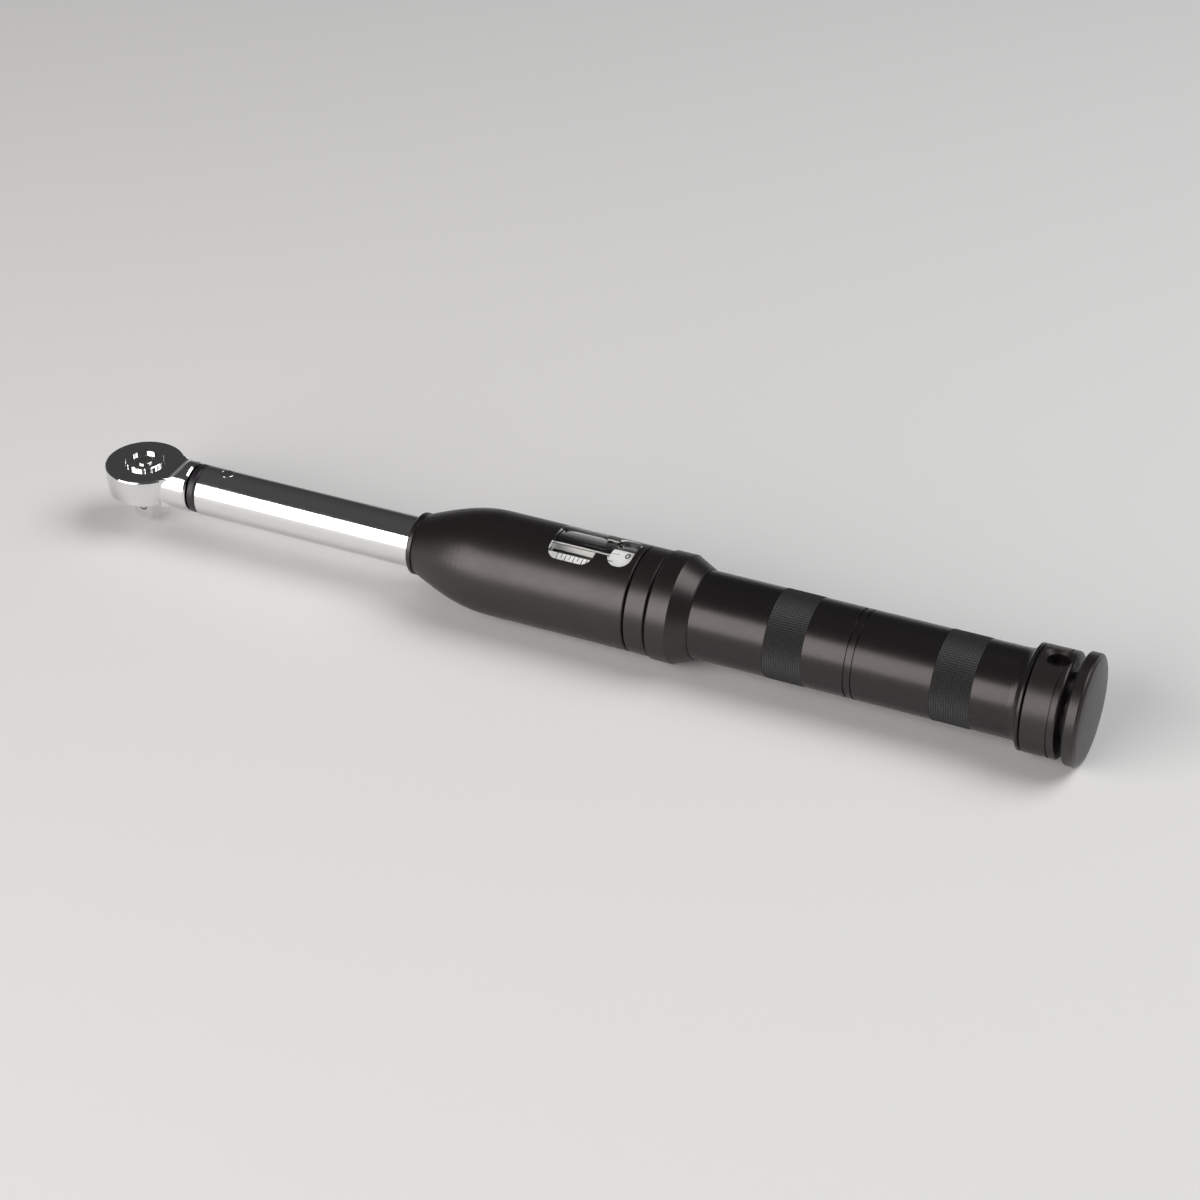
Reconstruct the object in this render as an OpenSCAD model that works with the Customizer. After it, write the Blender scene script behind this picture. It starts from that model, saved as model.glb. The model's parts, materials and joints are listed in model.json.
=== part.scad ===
// Click-type torque wrench with a small reversible ratchet head.
// Millimetres. Z is the drive axis through the origin and the square points down.
// The wrench lies along X, with the handle towards +X.

/* [Ratchet head] */
// Diameter of the round head
head_d = 23.6; // [23:0.1:26]
// Thickness of the head
head_t = 9; // [8.8:0.1:11]
// Round on the upper edge of the head
head_edge = 0.8; // [0.4:0.1:1.2]
// How far the underside of the head is drawn in
head_belly = 0.8; // [0.2:0.1:0.9]
// Back face of the neck, from the drive axis
neck_x = 17; // [16.5:0.1:17.5]
// Diameter of the neck
neck_d = 15; // [14:0.1:16]
// Where the flat of the head starts to run up into the neck
sweep_x = 9.3; // [8.5:0.1:10]
// Radius of the run-up into the neck
sweep_r = 6; // [4:0.1:8]
// Radius of the corner between the round head and the neck
corner_r = 4; // [3:0.1:5]
// Thickness of the wall above the gear
top_wall = 1.2; // [1:0.05:1.5]
// Thickness of the cover under the gear
cover_t = 0.9; // [0.7:0.05:1.1]
// Diameter of the cover
cover_d = 19.6; // [19.2:0.1:20]
// Circle on which the cover screws sit
cover_pcd = 16.2; // [16:0.1:16.6]
// Thread diameter of a cover screw
cover_screw_d = 1.6; // [1.4:0.1:1.8]
// Length of a cover screw
cover_screw_l = 3.2; // [2.5:0.1:3.8]

/* [Ratchet works] */
// Number of teeth on the drive gear
gear_teeth = 36; // [30:1:40]
// Diameter over the gear teeth
gear_d = 12.4; // [12.2:0.1:12.6]
// Depth of a tooth
tooth_depth = 0.6; // [0.5:0.05:0.65]
// Diameter of the hub that runs in the cover
hub_d = 9.6; // [9.2:0.1:10]
// How far the hub stands out under the cover
hub_out = 0.4; // [0.2:0.1:0.6]
// Width across the flats of the square drive
square_w = 6.35; // [6.2:0.05:6.5]
// Diameter over the rounded corners of the square
square_d = 8.4; // [8:0.1:8.8]
// Length of the square
square_l = 7.8; // [7.4:0.1:8.4]
// Distance of the locking ball from the end of the square
ball_up = 3.6; // [3.4:0.1:4]
// Diameter of the locking ball
ball_d = 2.4; // [2.2:0.1:2.5]
// How far the locking ball stands out of the square
ball_out = 0.45; // [0.35:0.05:0.5]
// Distance of the pawl pin from the drive axis
pawl_x = 8; // [7.9:0.05:8.1]
// Diameter of the pawl pin
pawl_pin_d = 1.6; // [1.4:0.1:1.7]
// Outer radius of the arms of the pawl
pawl_r = 8; // [7.8:0.1:8.2]
// Half the angle that the pawl spans round the gear
pawl_span = 45; // [43:1:46]
// Tilt of the pawl to each side of its middle
pawl_tilt = 8.3; // [8:0.1:8.6]

/* [Dial and button] */
// Diameter of the reversing dial
dial_d = 11.4; // [11:0.1:11.6]
// How far the dial stands above the head
dial_h = 1; // [0.6:0.1:1.4]
// Diameter of the hollow in the dial
dial_hollow_d = 8.4; // [8:0.1:8.8]
// Depth of the hollow in the dial
dial_hollow = 0.8; // [0.5:0.1:0.9]
// Number of notches round the dial
dial_notches = 18; // [12:1:24]
// Thickness of the flange that holds the dial in the head
flange_t = 2.2; // [2:0.1:2.3]
// Diameter of that flange
flange_d = 12.2; // [12.1:0.1:12.3]
// Turn of the dial to each side of its middle
dial_turn = 20; // [18:1:22]
// Diameter of the selector ball
selector_d = 1.2; // [1.1:0.05:1.3]
// Diameter of the release button
button_d = 4.8; // [4.4:0.1:5.2]
// Height of the button above the head
button_h = 0.9; // [0.6:0.1:1.2]
// Diameter of the stem of the button
stem_d = 2.4; // [2.2:0.1:2.5]
// Travel of the button
button_travel = 1.6; // [1.4:0.1:1.65]
// Wire diameter of the button spring
button_wire = 0.4; // [0.3:0.05:0.45]

/* [Tube and trip works] */
// Front end of the chrome tube
tube_x = 20; // [19.5:0.1:20.5]
// Rear end of the chrome tube
tube_end_x = 262; // [258:0.5:263]
// Outer diameter of the tube
tube_d = 15; // [14.6:0.1:15.6]
// Wall of the tube
tube_wall = 1.2; // [1.1:0.05:1.3]
// How much the seat for the sleeve and the handle is ground down, on the radius
tube_step = 0.2; // [0.18:0.01:0.25]
// Bevel on the front of the tube
tube_bevel = 0.6; // [0.3:0.1:0.8]
// How far the seal behind the neck lies under the surface of the tube
seal_inset = 0.35; // [0.2:0.05:0.7]
// Distance of the head pivot from the drive axis
pivot_x = 28; // [27:0.1:29]
// Diameter of the head pivot
pivot_d = 4; // [3.6:0.1:4.4]
// Length of the tail behind the pivot
tail_l = 16; // [15:0.1:17]
// Room round the tail, in which it swings
tail_room = 1.3; // [1.2:0.05:1.6]
// Tilt of the head when the wrench clicks
click = 3; // [2:0.1:3.2]
// Length of the tilting block
block_l = 6.1; // [5.6:0.1:6.6]
// Height of the tilting block
block_h = 7; // [6:0.1:8]
// Diameter of the rocker at the back of the block
rocker_d = 3; // [2.6:0.1:3.4]
// Length of the plunger
plunger_l = 12; // [11:0.1:14]
// Length of the spigot that centres the spring
spigot_l = 5; // [4:0.1:6]
// Thickness of the two spring washers
spring_washer_t = 1.2; // [1:0.1:1.5]
// Mean diameter of the main spring
spring_d = 8.6; // [8.4:0.1:8.8]
// Wire diameter of the main spring
spring_wire = 2.2; // [2:0.1:2.4]
// Turns of the main spring
spring_turns = 16; // [12:1:17]

/* [Setting works] */
// Front of the setting nut at the lowest setting
nut_x = 129; // [128:0.1:130]
// Length of the setting nut
nut_l = 10; // [9:0.1:11]
// Travel of the setting nut over the whole range
nut_travel = 10; // [8:0.5:10.5]
// Diameter of the setting screw
screw_d = 5; // [4.6:0.1:5.2]
// Front end of the setting screw
screw_x = 116; // [114:0.5:117]
// Front of the collar on the setting screw
screw_collar_x = 165; // [164:0.1:166]
// Length of that collar
screw_collar_l = 3; // [2:0.1:4]
// Where the six-sided end of the screw starts
screw_hex_x = 240; // [230:0.5:245]
// Rear end of the setting screw
screw_end_x = 280; // [278:0.1:280.5]
// Thickness of a thrust washer
thrust_t = 1; // [0.8:0.1:1.2]
// Diameter of a bearing ball
bearing_d = 3; // [2.6:0.1:3.2]
// Play between the bearing balls and the tube
bearing_play = 0.5; // [0.4:0.05:0.55]
// Length of the plug that carries the bearing
plug_l = 7.8; // [7:0.1:9]
// Diameter of the two screws in the plug
plug_screw_d = 2.8; // [2.4:0.1:3]
// Width of a scale key
key_w = 3; // [2.6:0.1:3.4]
// Length of a scale key
key_l = 4; // [3.6:0.1:4.4]
// Distance of the keys from the front of the nut
key_dx = 3; // [2.6:0.1:3.4]

/* [Sleeve and window] */
// Front rim of the black sleeve
sleeve_x = 89.7; // [86:0.1:94]
// Diameter of the front rim
rim_d = 18; // [17:0.1:19]
// Length of the front rim
rim_l = 1.6; // [1:0.1:2]
// Where the nose of the sleeve reaches its full diameter
nose_x = 115; // [108:0.5:118]
// Full diameter of the sleeve
sleeve_d = 30; // [29.5:0.1:31]
// Rear end of the sleeve
sleeve_end_x = 158.8; // [158.6:0.1:159]
// Bore of the hollow behind the nose
hollow_d = 23.8; // [23.7:0.1:24.1]
// Front of that hollow
hollow_x = 119; // [117:0.1:120]
// Front of the large window lobe
lobe_x = 133; // [132:0.1:134]
// Rear of the large window lobe
lobe_end_x = 146.5; // [146:0.1:147]
// Width of the large window lobe
lobe_w = 17; // [15:0.1:18]
// Front of the small window lobe
eye_x = 150; // [149.8:0.1:150.5]
// Rear of the small window lobe
eye_end_x = 157; // [156.6:0.1:157.2]
// Width of the small window lobe
eye_w = 13.5; // [12:0.1:15]
// Width of the waist between the lobes
waist_w = 8; // [6:0.1:10]
// Corner radius of the lobes
lobe_r = 3.2; // [2.4:0.1:3.4]
// Thickness of the clear lens
lens_t = 2.4; // [2.2:0.1:2.6]
// Width of the lip round the lens
lens_lip = 1.1; // [0.8:0.1:1.2]
// Diameter of the two grub screws under the nose
grub_d = 3; // [2.4:0.1:3.4]
// Rear end of the rear bezel
bezel_end_x = 165.2; // [164.8:0.1:165.4]
// Length of the spigot on the bezel
bezel_spigot = 3.6; // [3:0.1:4]
// Front of the main scale at the lowest setting
scale_x = 130.5; // [130.1:0.1:131]
// Length of the main scale
scale_l = 27; // [26.5:0.1:28]
// Outer diameter of the main scale
scale_d = 19.6; // [19.4:0.1:19.7]
// Play between the main scale and the tube
scale_play = 0.5; // [0.4:0.05:0.7]
// Width of the gap between the two strips of the main scale
scale_gap = 4.4; // [3:0.1:6]
// Spacing of the marks on the main scale
mark_step = 1.25; // [1:0.25:2.5]
// Front of the turning scale ring
ring_x0 = 149.6; // [149.4:0.1:149.8]
// Outer diameter of the turning scale ring
ring_d = 23.2; // [23:0.1:23.3]
// Wall of the turning scale ring
ring_wall = 1.4; // [1.2:0.1:1.5]
// Number of marks round the turning scale ring
ring_marks = 25; // [20:1:30]

/* [Handle] */
// Running gap between the bezel and the handle
handle_gap = 0.4; // [0.3:0.05:0.6]
// Diameter of the collar at the front of the handle
collar_d = 31; // [30.5:0.1:32]
// Length of the full width of the collar
collar_l = 6.6; // [6:0.1:8]
// Length of the taper behind it
taper_l = 5; // [4:0.1:6]
// Diameter of the grip
grip_d = 25; // [24.5:0.1:26]
// Wall of the grip
grip_wall = 2; // [1.8:0.1:2.2]
// Where the flare at the rear of the grip starts
flare_x = 267.6; // [266:0.1:268]
// Rear end of the grip
grip_end_x = 271.6; // [271.4:0.1:271.8]
// Diameter of the flare and the end cap
cap_d = 29.5; // [29:0.1:30.5]
// Front of the first rubber band
band_a_x = 199.1; // [195:0.1:203]
// Front of the second rubber band
band_b_x = 246.4; // [240:0.1:250]
// Length of a rubber band
band_l = 11.1; // [9:0.1:13]
// Depth of the seat of a rubber band
band_seat = 0.6; // [0.4:0.05:0.8]
// Middle of the pair of fine grooves
grooves_x = 223.4; // [220:0.1:226]
// Spacing of that pair
grooves_gap = 2.1; // [1.6:0.1:3]
// Width of a fine groove
groove_w = 0.5; // [0.3:0.05:0.7]
// Depth of a fine groove
groove_t = 0.4; // [0.2:0.05:0.5]
// Front of the first bush
bush_a_x = 175; // [174:0.1:176]
// Front of the second bush
bush_b_x = 250; // [248:0.1:252]
// Length of a bush
bush_l = 8; // [7:0.1:9]
// Thickness of a circlip
clip_t = 1; // [0.8:0.1:1.2]
// How far a circlip stands out of the tube
clip_out = 1.5; // [1:0.1:2]
// Depth of a circlip groove in the tube
clip_groove = 0.45; // [0.3:0.05:0.5]

/* [End cap and lock] */
// Front face of the end cap's band
cap_x = 272; // [271.9:0.1:272.1]
// Rear face of the end cap
cap_end_x = 281.4; // [281:0.1:281.6]
// Front of the spigot on the end cap
cap_spigot_x = 264.2; // [264:0.1:265]
// Edge round on the cap and the knob
edge_r = 0.6; // [0.3:0.1:0.8]
// Middle of the pin spanner hole
spanner_x = 277.1; // [276.8:0.1:277.3]
// Diameter of the pin spanner hole
spanner_d = 6; // [5.6:0.1:6.4]
// Depth of the pin spanner hole
spanner_depth = 4; // [3:0.1:4.2]
// Bevel on the mouth of the pin spanner hole
spanner_bevel = 0.9; // [0.6:0.1:1]
// Front of the knob
knob_x = 283.6; // [283.5:0.1:284]
// Diameter of the knob
knob_d = 31; // [30:0.1:32]
// Thickness of the rim of the knob
knob_t = 3.4; // [3:0.1:4]
// Rise of the domed face of the knob
knob_dome = 1.4; // [1:0.1:2]
// Diameter of the neck of the knob
knob_neck_d = 18; // [17:0.1:18.4]
// Length of the neck of the knob
knob_neck_l = 5; // [4.6:0.1:5]
// Stroke of the knob from free to locked
knob_stroke = 2; // [1.6:0.1:2]
// Width of the lock stem over its corners
lock_d = 9.2; // [8.8:0.1:9.4]
// Width of the six-sided end of the screw over its corners
hex_d = 5.8; // [5.6:0.1:6]
// Length of the lock ring in the tube
lock_ring_l = 6; // [5:0.1:8]
// Play between the lock ring and the free stem
lock_play = 0.4; // [0.3:0.05:0.5]
// Thickness of the ring that holds the knob
o_ring_t = 1.1; // [0.9:0.1:1.2]
// Diameter of the grub screw in the knob
knob_grub_d = 2; // [1.6:0.1:2.4]

/* [Fits] */
// Gap between flat faces that move past each other
face_gap = 0.05; // [0.03:0.01:0.08]
// Radial clearance of a shaft or piston that runs in a bore
run_gap = 0.06; // [0.04:0.01:0.09]
// Clearance of pieces that are pressed or screwed together
seat_gap = 0.02; // [0.01:0.01:0.04]
// Clearance between pieces that pass each other freely
free_gap = 0.15; // [0.1:0.01:0.2]

/* [Hidden] */
$fn = 96;
// Overshoot of a cutting tool past the face it cuts
over = 1;

// Heights inside the head
head_top = head_t / 2;
flange_top = head_top - top_wall - face_gap;
flange_low = flange_top - flange_t;
gear_top = flange_low - face_gap;
gear_low = cover_t - head_top + face_gap;
hub_low = -head_top - hub_out;
square_end = hub_low - square_l;
ball_z = square_end + ball_up;
selector_z = flange_top - flange_t / 2;

// Radii inside the head
gear_r = gear_d / 2;
gear_bore_r = gear_r + free_gap;
flange_r = flange_d / 2;
selector_track = flange_r - 2 * face_gap;
pocket_play = free_gap;
pocket_room = 1;
pocket_spread = 10;
pocket_r = pawl_r + pocket_room;
pawl_hub_wall = 0.55;
pawl_hub_r = pawl_pin_d / 2 + pawl_hub_wall;
pawl_pitch = 360 / gear_teeth;

// The cover screws
screw_room = 0.3;
screw_cone_t = 0.7;
screw_cone_r = cover_screw_d / 2 + 0.6;

// The button, its stem and its spring
ball_y = square_w / 2 + ball_out - ball_d / 2;
button_low = gear_top + button_travel + free_gap;
button_top = head_top + button_h;
stem_up = 1.4;
stem_low = square_end + stem_up;
spring_pocket_w = 1;
spring_pocket_floor = 1.2;
spring_pocket_r = stem_d / 2 + spring_pocket_w;
spring_pocket_z = gear_low + spring_pocket_floor;
button_coil_play = 0.35;
button_coil_d = stem_d + button_wire + 2 * button_coil_play;
button_turns = 4;
button_spring_l = button_low - spring_pocket_z - 2 * face_gap;

// The selector ball and its spring, in a radial hole in the flange of the dial
selector_bore_in = 3.4;
selector_wire = 0.25;
selector_turns = 2.5;
selector_coil_d = selector_d - selector_wire - 2 * run_gap;
selector_spring_l = selector_track - selector_d / 2 - selector_bore_in - 2 * face_gap;

// The trip works, from the pivot backwards
neck_r = neck_d / 2;
tube_r = tube_d / 2;
tube_seat_r = tube_r - tube_step;
tail_x = pivot_x + tail_l;
rocker_x = tail_x + face_gap * 2 + block_l;
rocker_seat = 0.4;
plunger_x = rocker_x + rocker_seat;
plunger_end_x = plunger_x + plunger_l;
seat_end_x = plunger_end_x + face_gap + spring_washer_t;
bore_r = tube_r - tube_wall;
tail_d = 2 * (bore_r - tail_room);
piston_r = bore_r - run_gap;
washer_r = bore_r - free_gap * 2;
spigot_r = (spring_d - spring_wire) / 2 - free_gap * 2;
ring_seat_in = 4;
ring_seat_x = plunger_x + ring_seat_in;
ring_seat_l = 4;
ring_seat_t = 0.7;
rocker_room = 0.3;

// The setting works, from the screw collar backwards
nut_washer_x = nut_x - face_gap - spring_washer_t;
spring_x = seat_end_x + face_gap;
spring_end_x = nut_washer_x - face_gap;
spring_l = spring_end_x - spring_x;
screw_collar_end = screw_collar_x + screw_collar_l;
thrust_a_x = screw_collar_end + face_gap;
ball_ring_x = thrust_a_x + thrust_t + face_gap + bearing_d / 2;
thrust_b_x = ball_ring_x + bearing_d / 2 + face_gap;
plug_x = thrust_b_x + thrust_t + face_gap;
plug_mid_x = plug_x + plug_l / 2;
plug_screw_low = screw_d / 2 + 0.8;
bearing_pcd = 2 * (bore_r - bearing_play) - bearing_d;
bearing_n = floor(180 / asin((bearing_d + free_gap) / bearing_pcd));
key_x = nut_x + key_dx;
key_root = 1.2;
key_cover = 0.6;
key_in = screw_d / 2 + key_root;
key_out = scale_d / 2 - key_cover;

// The sleeve and what it holds
sleeve_r = sleeve_d / 2;
hollow_r = hollow_d / 2;
grub_in = 9;
grub_pitch = 8;
bezel_gap = 0.45;
bezel_wall = 1.6;
bezel_x = sleeve_end_x + bezel_gap;
bezel_spigot_r = sleeve_r - bezel_wall;
lens_lip_r = sleeve_r - lens_t;
lens_step = 0.3;
scale_bore_r = tube_r + scale_play;
mark_w = 0.25;
mark_t = 0.12;
handle_x = bezel_end_x + handle_gap;
collar_seat = 2.6;
grip_x = handle_x + collar_seat;
collar_end_x = handle_x + collar_l;
taper_end_x = collar_end_x + taper_l;
grip_r = grip_d / 2;
grip_bore_r = grip_r - grip_wall;
collar_bore_r = ring_d / 2 + seat_gap;
cap_r = cap_d / 2;
knob_r = knob_d / 2;
knob_neck_x = knob_x - knob_neck_l;
knob_play = 0.2;
cap_bore_x = knob_neck_x - knob_stroke - knob_play;
cap_bore_r = knob_neck_d / 2 + knob_play;
stem_x = tube_end_x + lock_play;
stem_shoulder = 0.4;
stem_round_x = cap_bore_x - stem_shoulder;
stem_round_r = lock_d / 2 * cos(30) - knob_play;
stem_in_knob = 0.8;
stem_end_x = knob_x + stem_in_knob;
knob_grub_in = 1.5;
knob_grub_x = knob_x - knob_grub_in;
o_ring_in = 1.2;
o_ring_x = knob_neck_x + o_ring_in;
o_ring_out = 0.15;

// A round bar along X
module rod_x(x0, x1, r) {
  translate([x0, 0, 0])
    rotate([0, 90, 0])
      cylinder(h = x1 - x0, r = r);
}

// A tube along X
module ring_x(x0, x1, outer, inner) {
  difference() {
    rod_x(x0, x1, outer);
    rod_x(x0 - over, x1 + over, inner);
  }
}

// A shape turned round X, from points of [radius, x]
module turned_x(points) {
  rotate([0, 90, 0])
    rotate_extrude()
      polygon(points);
}

// A six-sided bar along X, measured over its corners
module hex_x(x0, x1, d) {
  translate([x0, 0, 0])
    rotate([0, 90, 0])
      cylinder(h = x1 - x0, d = d, $fn = 6);
}

// A box between two corners
module block(a, b) {
  translate(a)
    cube(b - a);
}

// Turns its children about the pawl pin
module about_pawl_pin(angle) {
  translate([pawl_x, 0])
    rotate(angle)
      translate([-pawl_x, 0])
        children();
}

// Outline of the gear, or of the space it needs with a clearance
module gear_outline(clear = 0) {
  polygon([
    for (i = [0 : 2 * gear_teeth - 1])
      let (r = (i % 2 == 0 ? gear_r : gear_r - tooth_depth) + clear)
        [r * cos(i * pawl_pitch / 2), r * sin(i * pawl_pitch / 2)]
  ]);
}

// Points of an arc, from one angle to another
function arc(cx, cy, r, a0, a1, n) =
  [for (i = [0 : n]) let (a = a0 + (a1 - a0) * i / n) [cx + r * cos(a), cy + r * sin(a)]];

// Centre line of a coil: its rings rise evenly, 8 to a turn
coil_sides = 6;
coil_rings = 8;
function coil_path(r, turns, length, wire) =
  [for (i = [0 : turns * coil_rings])
    let (a = 360 * i / coil_rings, z = wire / 2 + (length - wire) * i / (turns * coil_rings))
      [r * cos(a), r * sin(a), z]];

// One ring of the wire, square to the coil
function coil_ring(p, a, rise, wire) =
  let (out = [cos(a), sin(a), 0], up = [-sin(a) * sin(rise), cos(a) * sin(rise), -cos(rise)])
    [for (k = [0 : coil_sides - 1])
      let (b = 360 * k / coil_sides) p + wire / 2 * (cos(b) * out + sin(b) * up)];

// Least gap between neighbouring turns, measured on the centre line
function coil_gap(path, wire) =
  min([
    for (i = [0 : len(path) - 1])
      for (j = [i + coil_rings / 2 : min(i + 2 * coil_rings, len(path) - 1)])
        norm(path[j] - path[i])
  ]) - wire;

// A coil spring that stands on Z, one unbroken tube
module coil(d, wire, turns, length) {
  path = coil_path(d / 2, turns, length, wire);
  rise = atan((length - wire) / turns / (PI * d));
  rings = [
    for (i = [0 : len(path) - 1])
      for (p = coil_ring(path[i], 360 * i / coil_rings, rise, wire)) p
  ];
  last = len(path) - 1;
  sides = [
    for (i = [0 : last - 1])
      for (k = [0 : coil_sides - 1])
        let (
          a = i * coil_sides + k,
          b = i * coil_sides + (k + 1) % coil_sides,
          c = a + coil_sides,
          e = b + coil_sides
        )
          for (face = [[a, b, e], [a, e, c]]) face
  ];
  start = [for (k = [1 : coil_sides - 2]) [0, k + 1, k]];
  end = [for (k = [1 : coil_sides - 2]) [0, k, k + 1] + last * coil_sides * [1, 1, 1]];
  polyhedron(points = rings, faces = concat(sides, start, end));
}

// ---- Ratchet head ----

// Side of the round head: a gentle bulge below, a round edge above
module head_disc() {
  r = head_d / 2;
  lower_edge = 0.4;
  wall_top = head_top - head_edge;
  steps = 8;
  bulge = [
    for (i = [0 : steps])
      let (u = i / steps)
        [r - head_belly * (1 - sin(90 * u)), -head_top + lower_edge + (wall_top + head_top - lower_edge) * u]
  ];
  rotate_extrude()
    polygon(concat(
      [[0, -head_top], [r - head_belly - lower_edge, -head_top]],
      bulge,
      arc(r - head_edge, wall_top, head_edge, 15, 90, 5),
      [[0, head_top]]
    ));
}

// Rounds that lead from the head into the neck, seen from above
module head_corners() {
  y_flat = sqrt(neck_r * neck_r - head_top * head_top);
  cy = y_flat + corner_r;
  cx = sqrt(pow(head_d / 2 + corner_r, 2) - cy * cy);
  touch = (head_d / 2) / (head_d / 2 + corner_r);
  for (side = [0, 1])
    mirror([0, side, 0])
      translate([0, 0, -head_top])
        linear_extrude(head_t)
          difference() {
            polygon([[0, 0], [cx * touch, cy * touch], [cx, cy], [cx, 0]]);
            translate([cx, cy])
              circle(r = corner_r);
          }
}

// Round neck whose flats sweep up to the full diameter
module head_neck() {
  neck_bevel = 0.5;
  difference() {
    turned_x([[0, head_t / 2], [neck_r, head_t / 2], [neck_r, neck_x - neck_bevel],
      [neck_r - neck_bevel, neck_x], [0, neck_x]]);
    for (side = [0, 1])
      mirror([0, 0, side]) {
        block([0, -neck_r - over, head_top], [sweep_x, neck_r + over, neck_r + over]);
        translate([sweep_x, neck_r + over, head_top + sweep_r])
          rotate([90, 0, 0])
            cylinder(h = 2 * (neck_r + over), r = sweep_r);
      }
  }
}

// Pocket in which the pawl rocks
module pawl_pocket() {
  reach = 2 * pocket_r;
  spread = pawl_span + pocket_spread;
  intersection() {
    circle(r = pocket_r);
    polygon([[0, 0], [reach * cos(spread), reach * sin(spread)], [reach, 0],
      [reach * cos(spread), -reach * sin(spread)]]);
  }
  translate([pawl_x, 0])
    circle(r = pawl_hub_r + pocket_play);
}

module cover_screw_places() {
  for (a = [110, 180, 250])
    rotate([0, 0, a])
      translate([cover_pcd / 2, 0, -head_top])
        children();
}

module ratchet_head() {
  color("silver")
    difference() {
      union() {
        head_disc();
        head_corners();
        head_neck();
        intersection() {
          rod_x(neck_x - over, tail_x, tail_d / 2);
          translate([pivot_x, 0, -tail_d])
            cylinder(h = 2 * tail_d, r = tail_l);
        }
      }
      translate([0, 0, -head_top - over]) {
        cylinder(h = head_t - top_wall + over, r = gear_bore_r);
        cylinder(h = cover_t + over, r = cover_d / 2 + face_gap);
        linear_extrude(head_t - top_wall + over)
          pawl_pocket();
      }
      cylinder(h = head_top + over, r = dial_d / 2 + run_gap);
      translate([pawl_x, 0, 0])
        cylinder(h = head_top - top_wall / 2, d = pawl_pin_d + 2 * seat_gap);
      cover_screw_places()
        cylinder(h = cover_screw_l + screw_room, d = cover_screw_d + 2 * seat_gap);
      translate([pivot_x, 0, -tail_d])
        cylinder(h = 2 * tail_d, d = pivot_d + 2 * run_gap);
    }
}

// Countersunk head of a cover screw, or the space for it
module cover_screw_cone(clear) {
  rotate_extrude()
    polygon([[0, 0], [screw_cone_r + clear, 0],
      [cover_screw_d / 2 + clear, screw_cone_t], [0, screw_cone_t]]);
}

module head_cover() {
  color("silver")
    difference() {
      translate([0, 0, -head_top])
        cylinder(h = cover_t, d = cover_d);
      translate([0, 0, -head_top - over])
        cylinder(h = cover_t + 2 * over, d = hub_d + 2 * run_gap);
      cover_screw_places() {
        cover_screw_cone(seat_gap);
        cylinder(h = cover_t + over, d = cover_screw_d + 4 * seat_gap);
      }
    }
}

module cover_screws() {
  slot_w = 0.4;
  slot_t = 0.35;
  color("dimgray")
    cover_screw_places()
      difference() {
        union() {
          cover_screw_cone(0);
          cylinder(h = cover_screw_l, d = cover_screw_d);
        }
        block([-screw_cone_r - over, -slot_w / 2, -over], [screw_cone_r + over, slot_w / 2, slot_t]);
      }
}

module drive_gear() {
  end_bevel = 0.6;
  root = 0.2;
  stem_room = 0.3;
  color("gray")
    difference() {
      union() {
        translate([0, 0, gear_low])
          linear_extrude(gear_top - gear_low)
            gear_outline();
        translate([0, 0, hub_low])
          cylinder(h = gear_low - hub_low + root, d = hub_d);
        intersection() {
          translate([-square_w / 2, -square_w / 2, square_end])
            cube([square_w, square_w, square_l + root]);
          rotate_extrude()
            polygon([[0, square_end], [square_d / 2 - end_bevel, square_end],
              [square_d / 2, square_end + end_bevel], [square_d / 2, hub_low + over], [0, hub_low + over]]);
        }
      }
      translate([0, 0, spring_pocket_z])
        cylinder(h = head_t, r = spring_pocket_r);
      translate([0, 0, stem_low - button_travel - stem_room])
        cylinder(h = head_t + square_l, d = stem_d + 2 * run_gap);
      translate([0, 0, ball_z])
        rotate([90, 0, 0])
          cylinder(h = square_w, d = ball_d + 2 * run_gap);
    }
}

module locking_ball() {
  color("gainsboro")
    translate([0, -ball_y, ball_z])
      sphere(d = ball_d);
}

// Button, stem and the waist that lets the ball drop in
module release_button() {
  r = stem_d / 2;
  ball_seat = 0.1;
  waist = r - ball_out - face_gap - ball_seat;
  ramp_low = ball_z - ball_d / 4;
  ramp_top = ball_z + button_travel;
  waist_top = ramp_top + ball_d / 2 + free_gap;
  dome = 0.3;
  br = button_d / 2;
  color("gainsboro")
    rotate_extrude()
      polygon([
        [0, stem_low], [r, stem_low], [r, ramp_low], [r - ball_seat, ball_z],
        [waist, ramp_top], [waist, waist_top], [r, waist_top + r - waist],
        [r, button_low], [br, button_low],
        for (a = [0 : 15 : 90]) [br * cos(a), button_top - dome * (1 - sin(a))]
      ]);
}

module button_spring() {
  color("silver")
    translate([0, 0, spring_pocket_z + face_gap])
      coil(button_coil_d, button_wire, button_turns, button_spring_l);
}

module reverse_dial() {
  edge = 0.25;
  notch_r = 0.3;
  notch_out = 0.12;
  notch_up = 0.1;
  r = dial_d / 2;
  top = head_top + dial_h;
  color("silver")
    rotate([0, 0, dial_turn])
      difference() {
        rotate_extrude()
          polygon([[button_d / 2 + run_gap, flange_low], [flange_r, flange_low], [flange_r, flange_top],
            [r, flange_top], [r, top - edge], [r - edge, top], [button_d / 2 + run_gap, top]]);
        translate([0, 0, top - dial_hollow])
          cylinder(h = dial_h + over, d = dial_hollow_d);
        for (i = [0 : dial_notches - 1])
          rotate([0, 0, 360 * i / dial_notches])
            translate([r + notch_out, 0, head_top + notch_up])
              cylinder(h = dial_h + over, r = notch_r, $fn = 24);
        translate([selector_bore_in, 0, selector_z])
          rotate([0, 90, 0])
            cylinder(h = flange_r, d = selector_d + 2 * run_gap);
      }
}

module selector_ball() {
  color("gainsboro")
    rotate([0, 0, dial_turn])
      translate([selector_track, 0, selector_z])
        sphere(d = selector_d);
}

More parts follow.
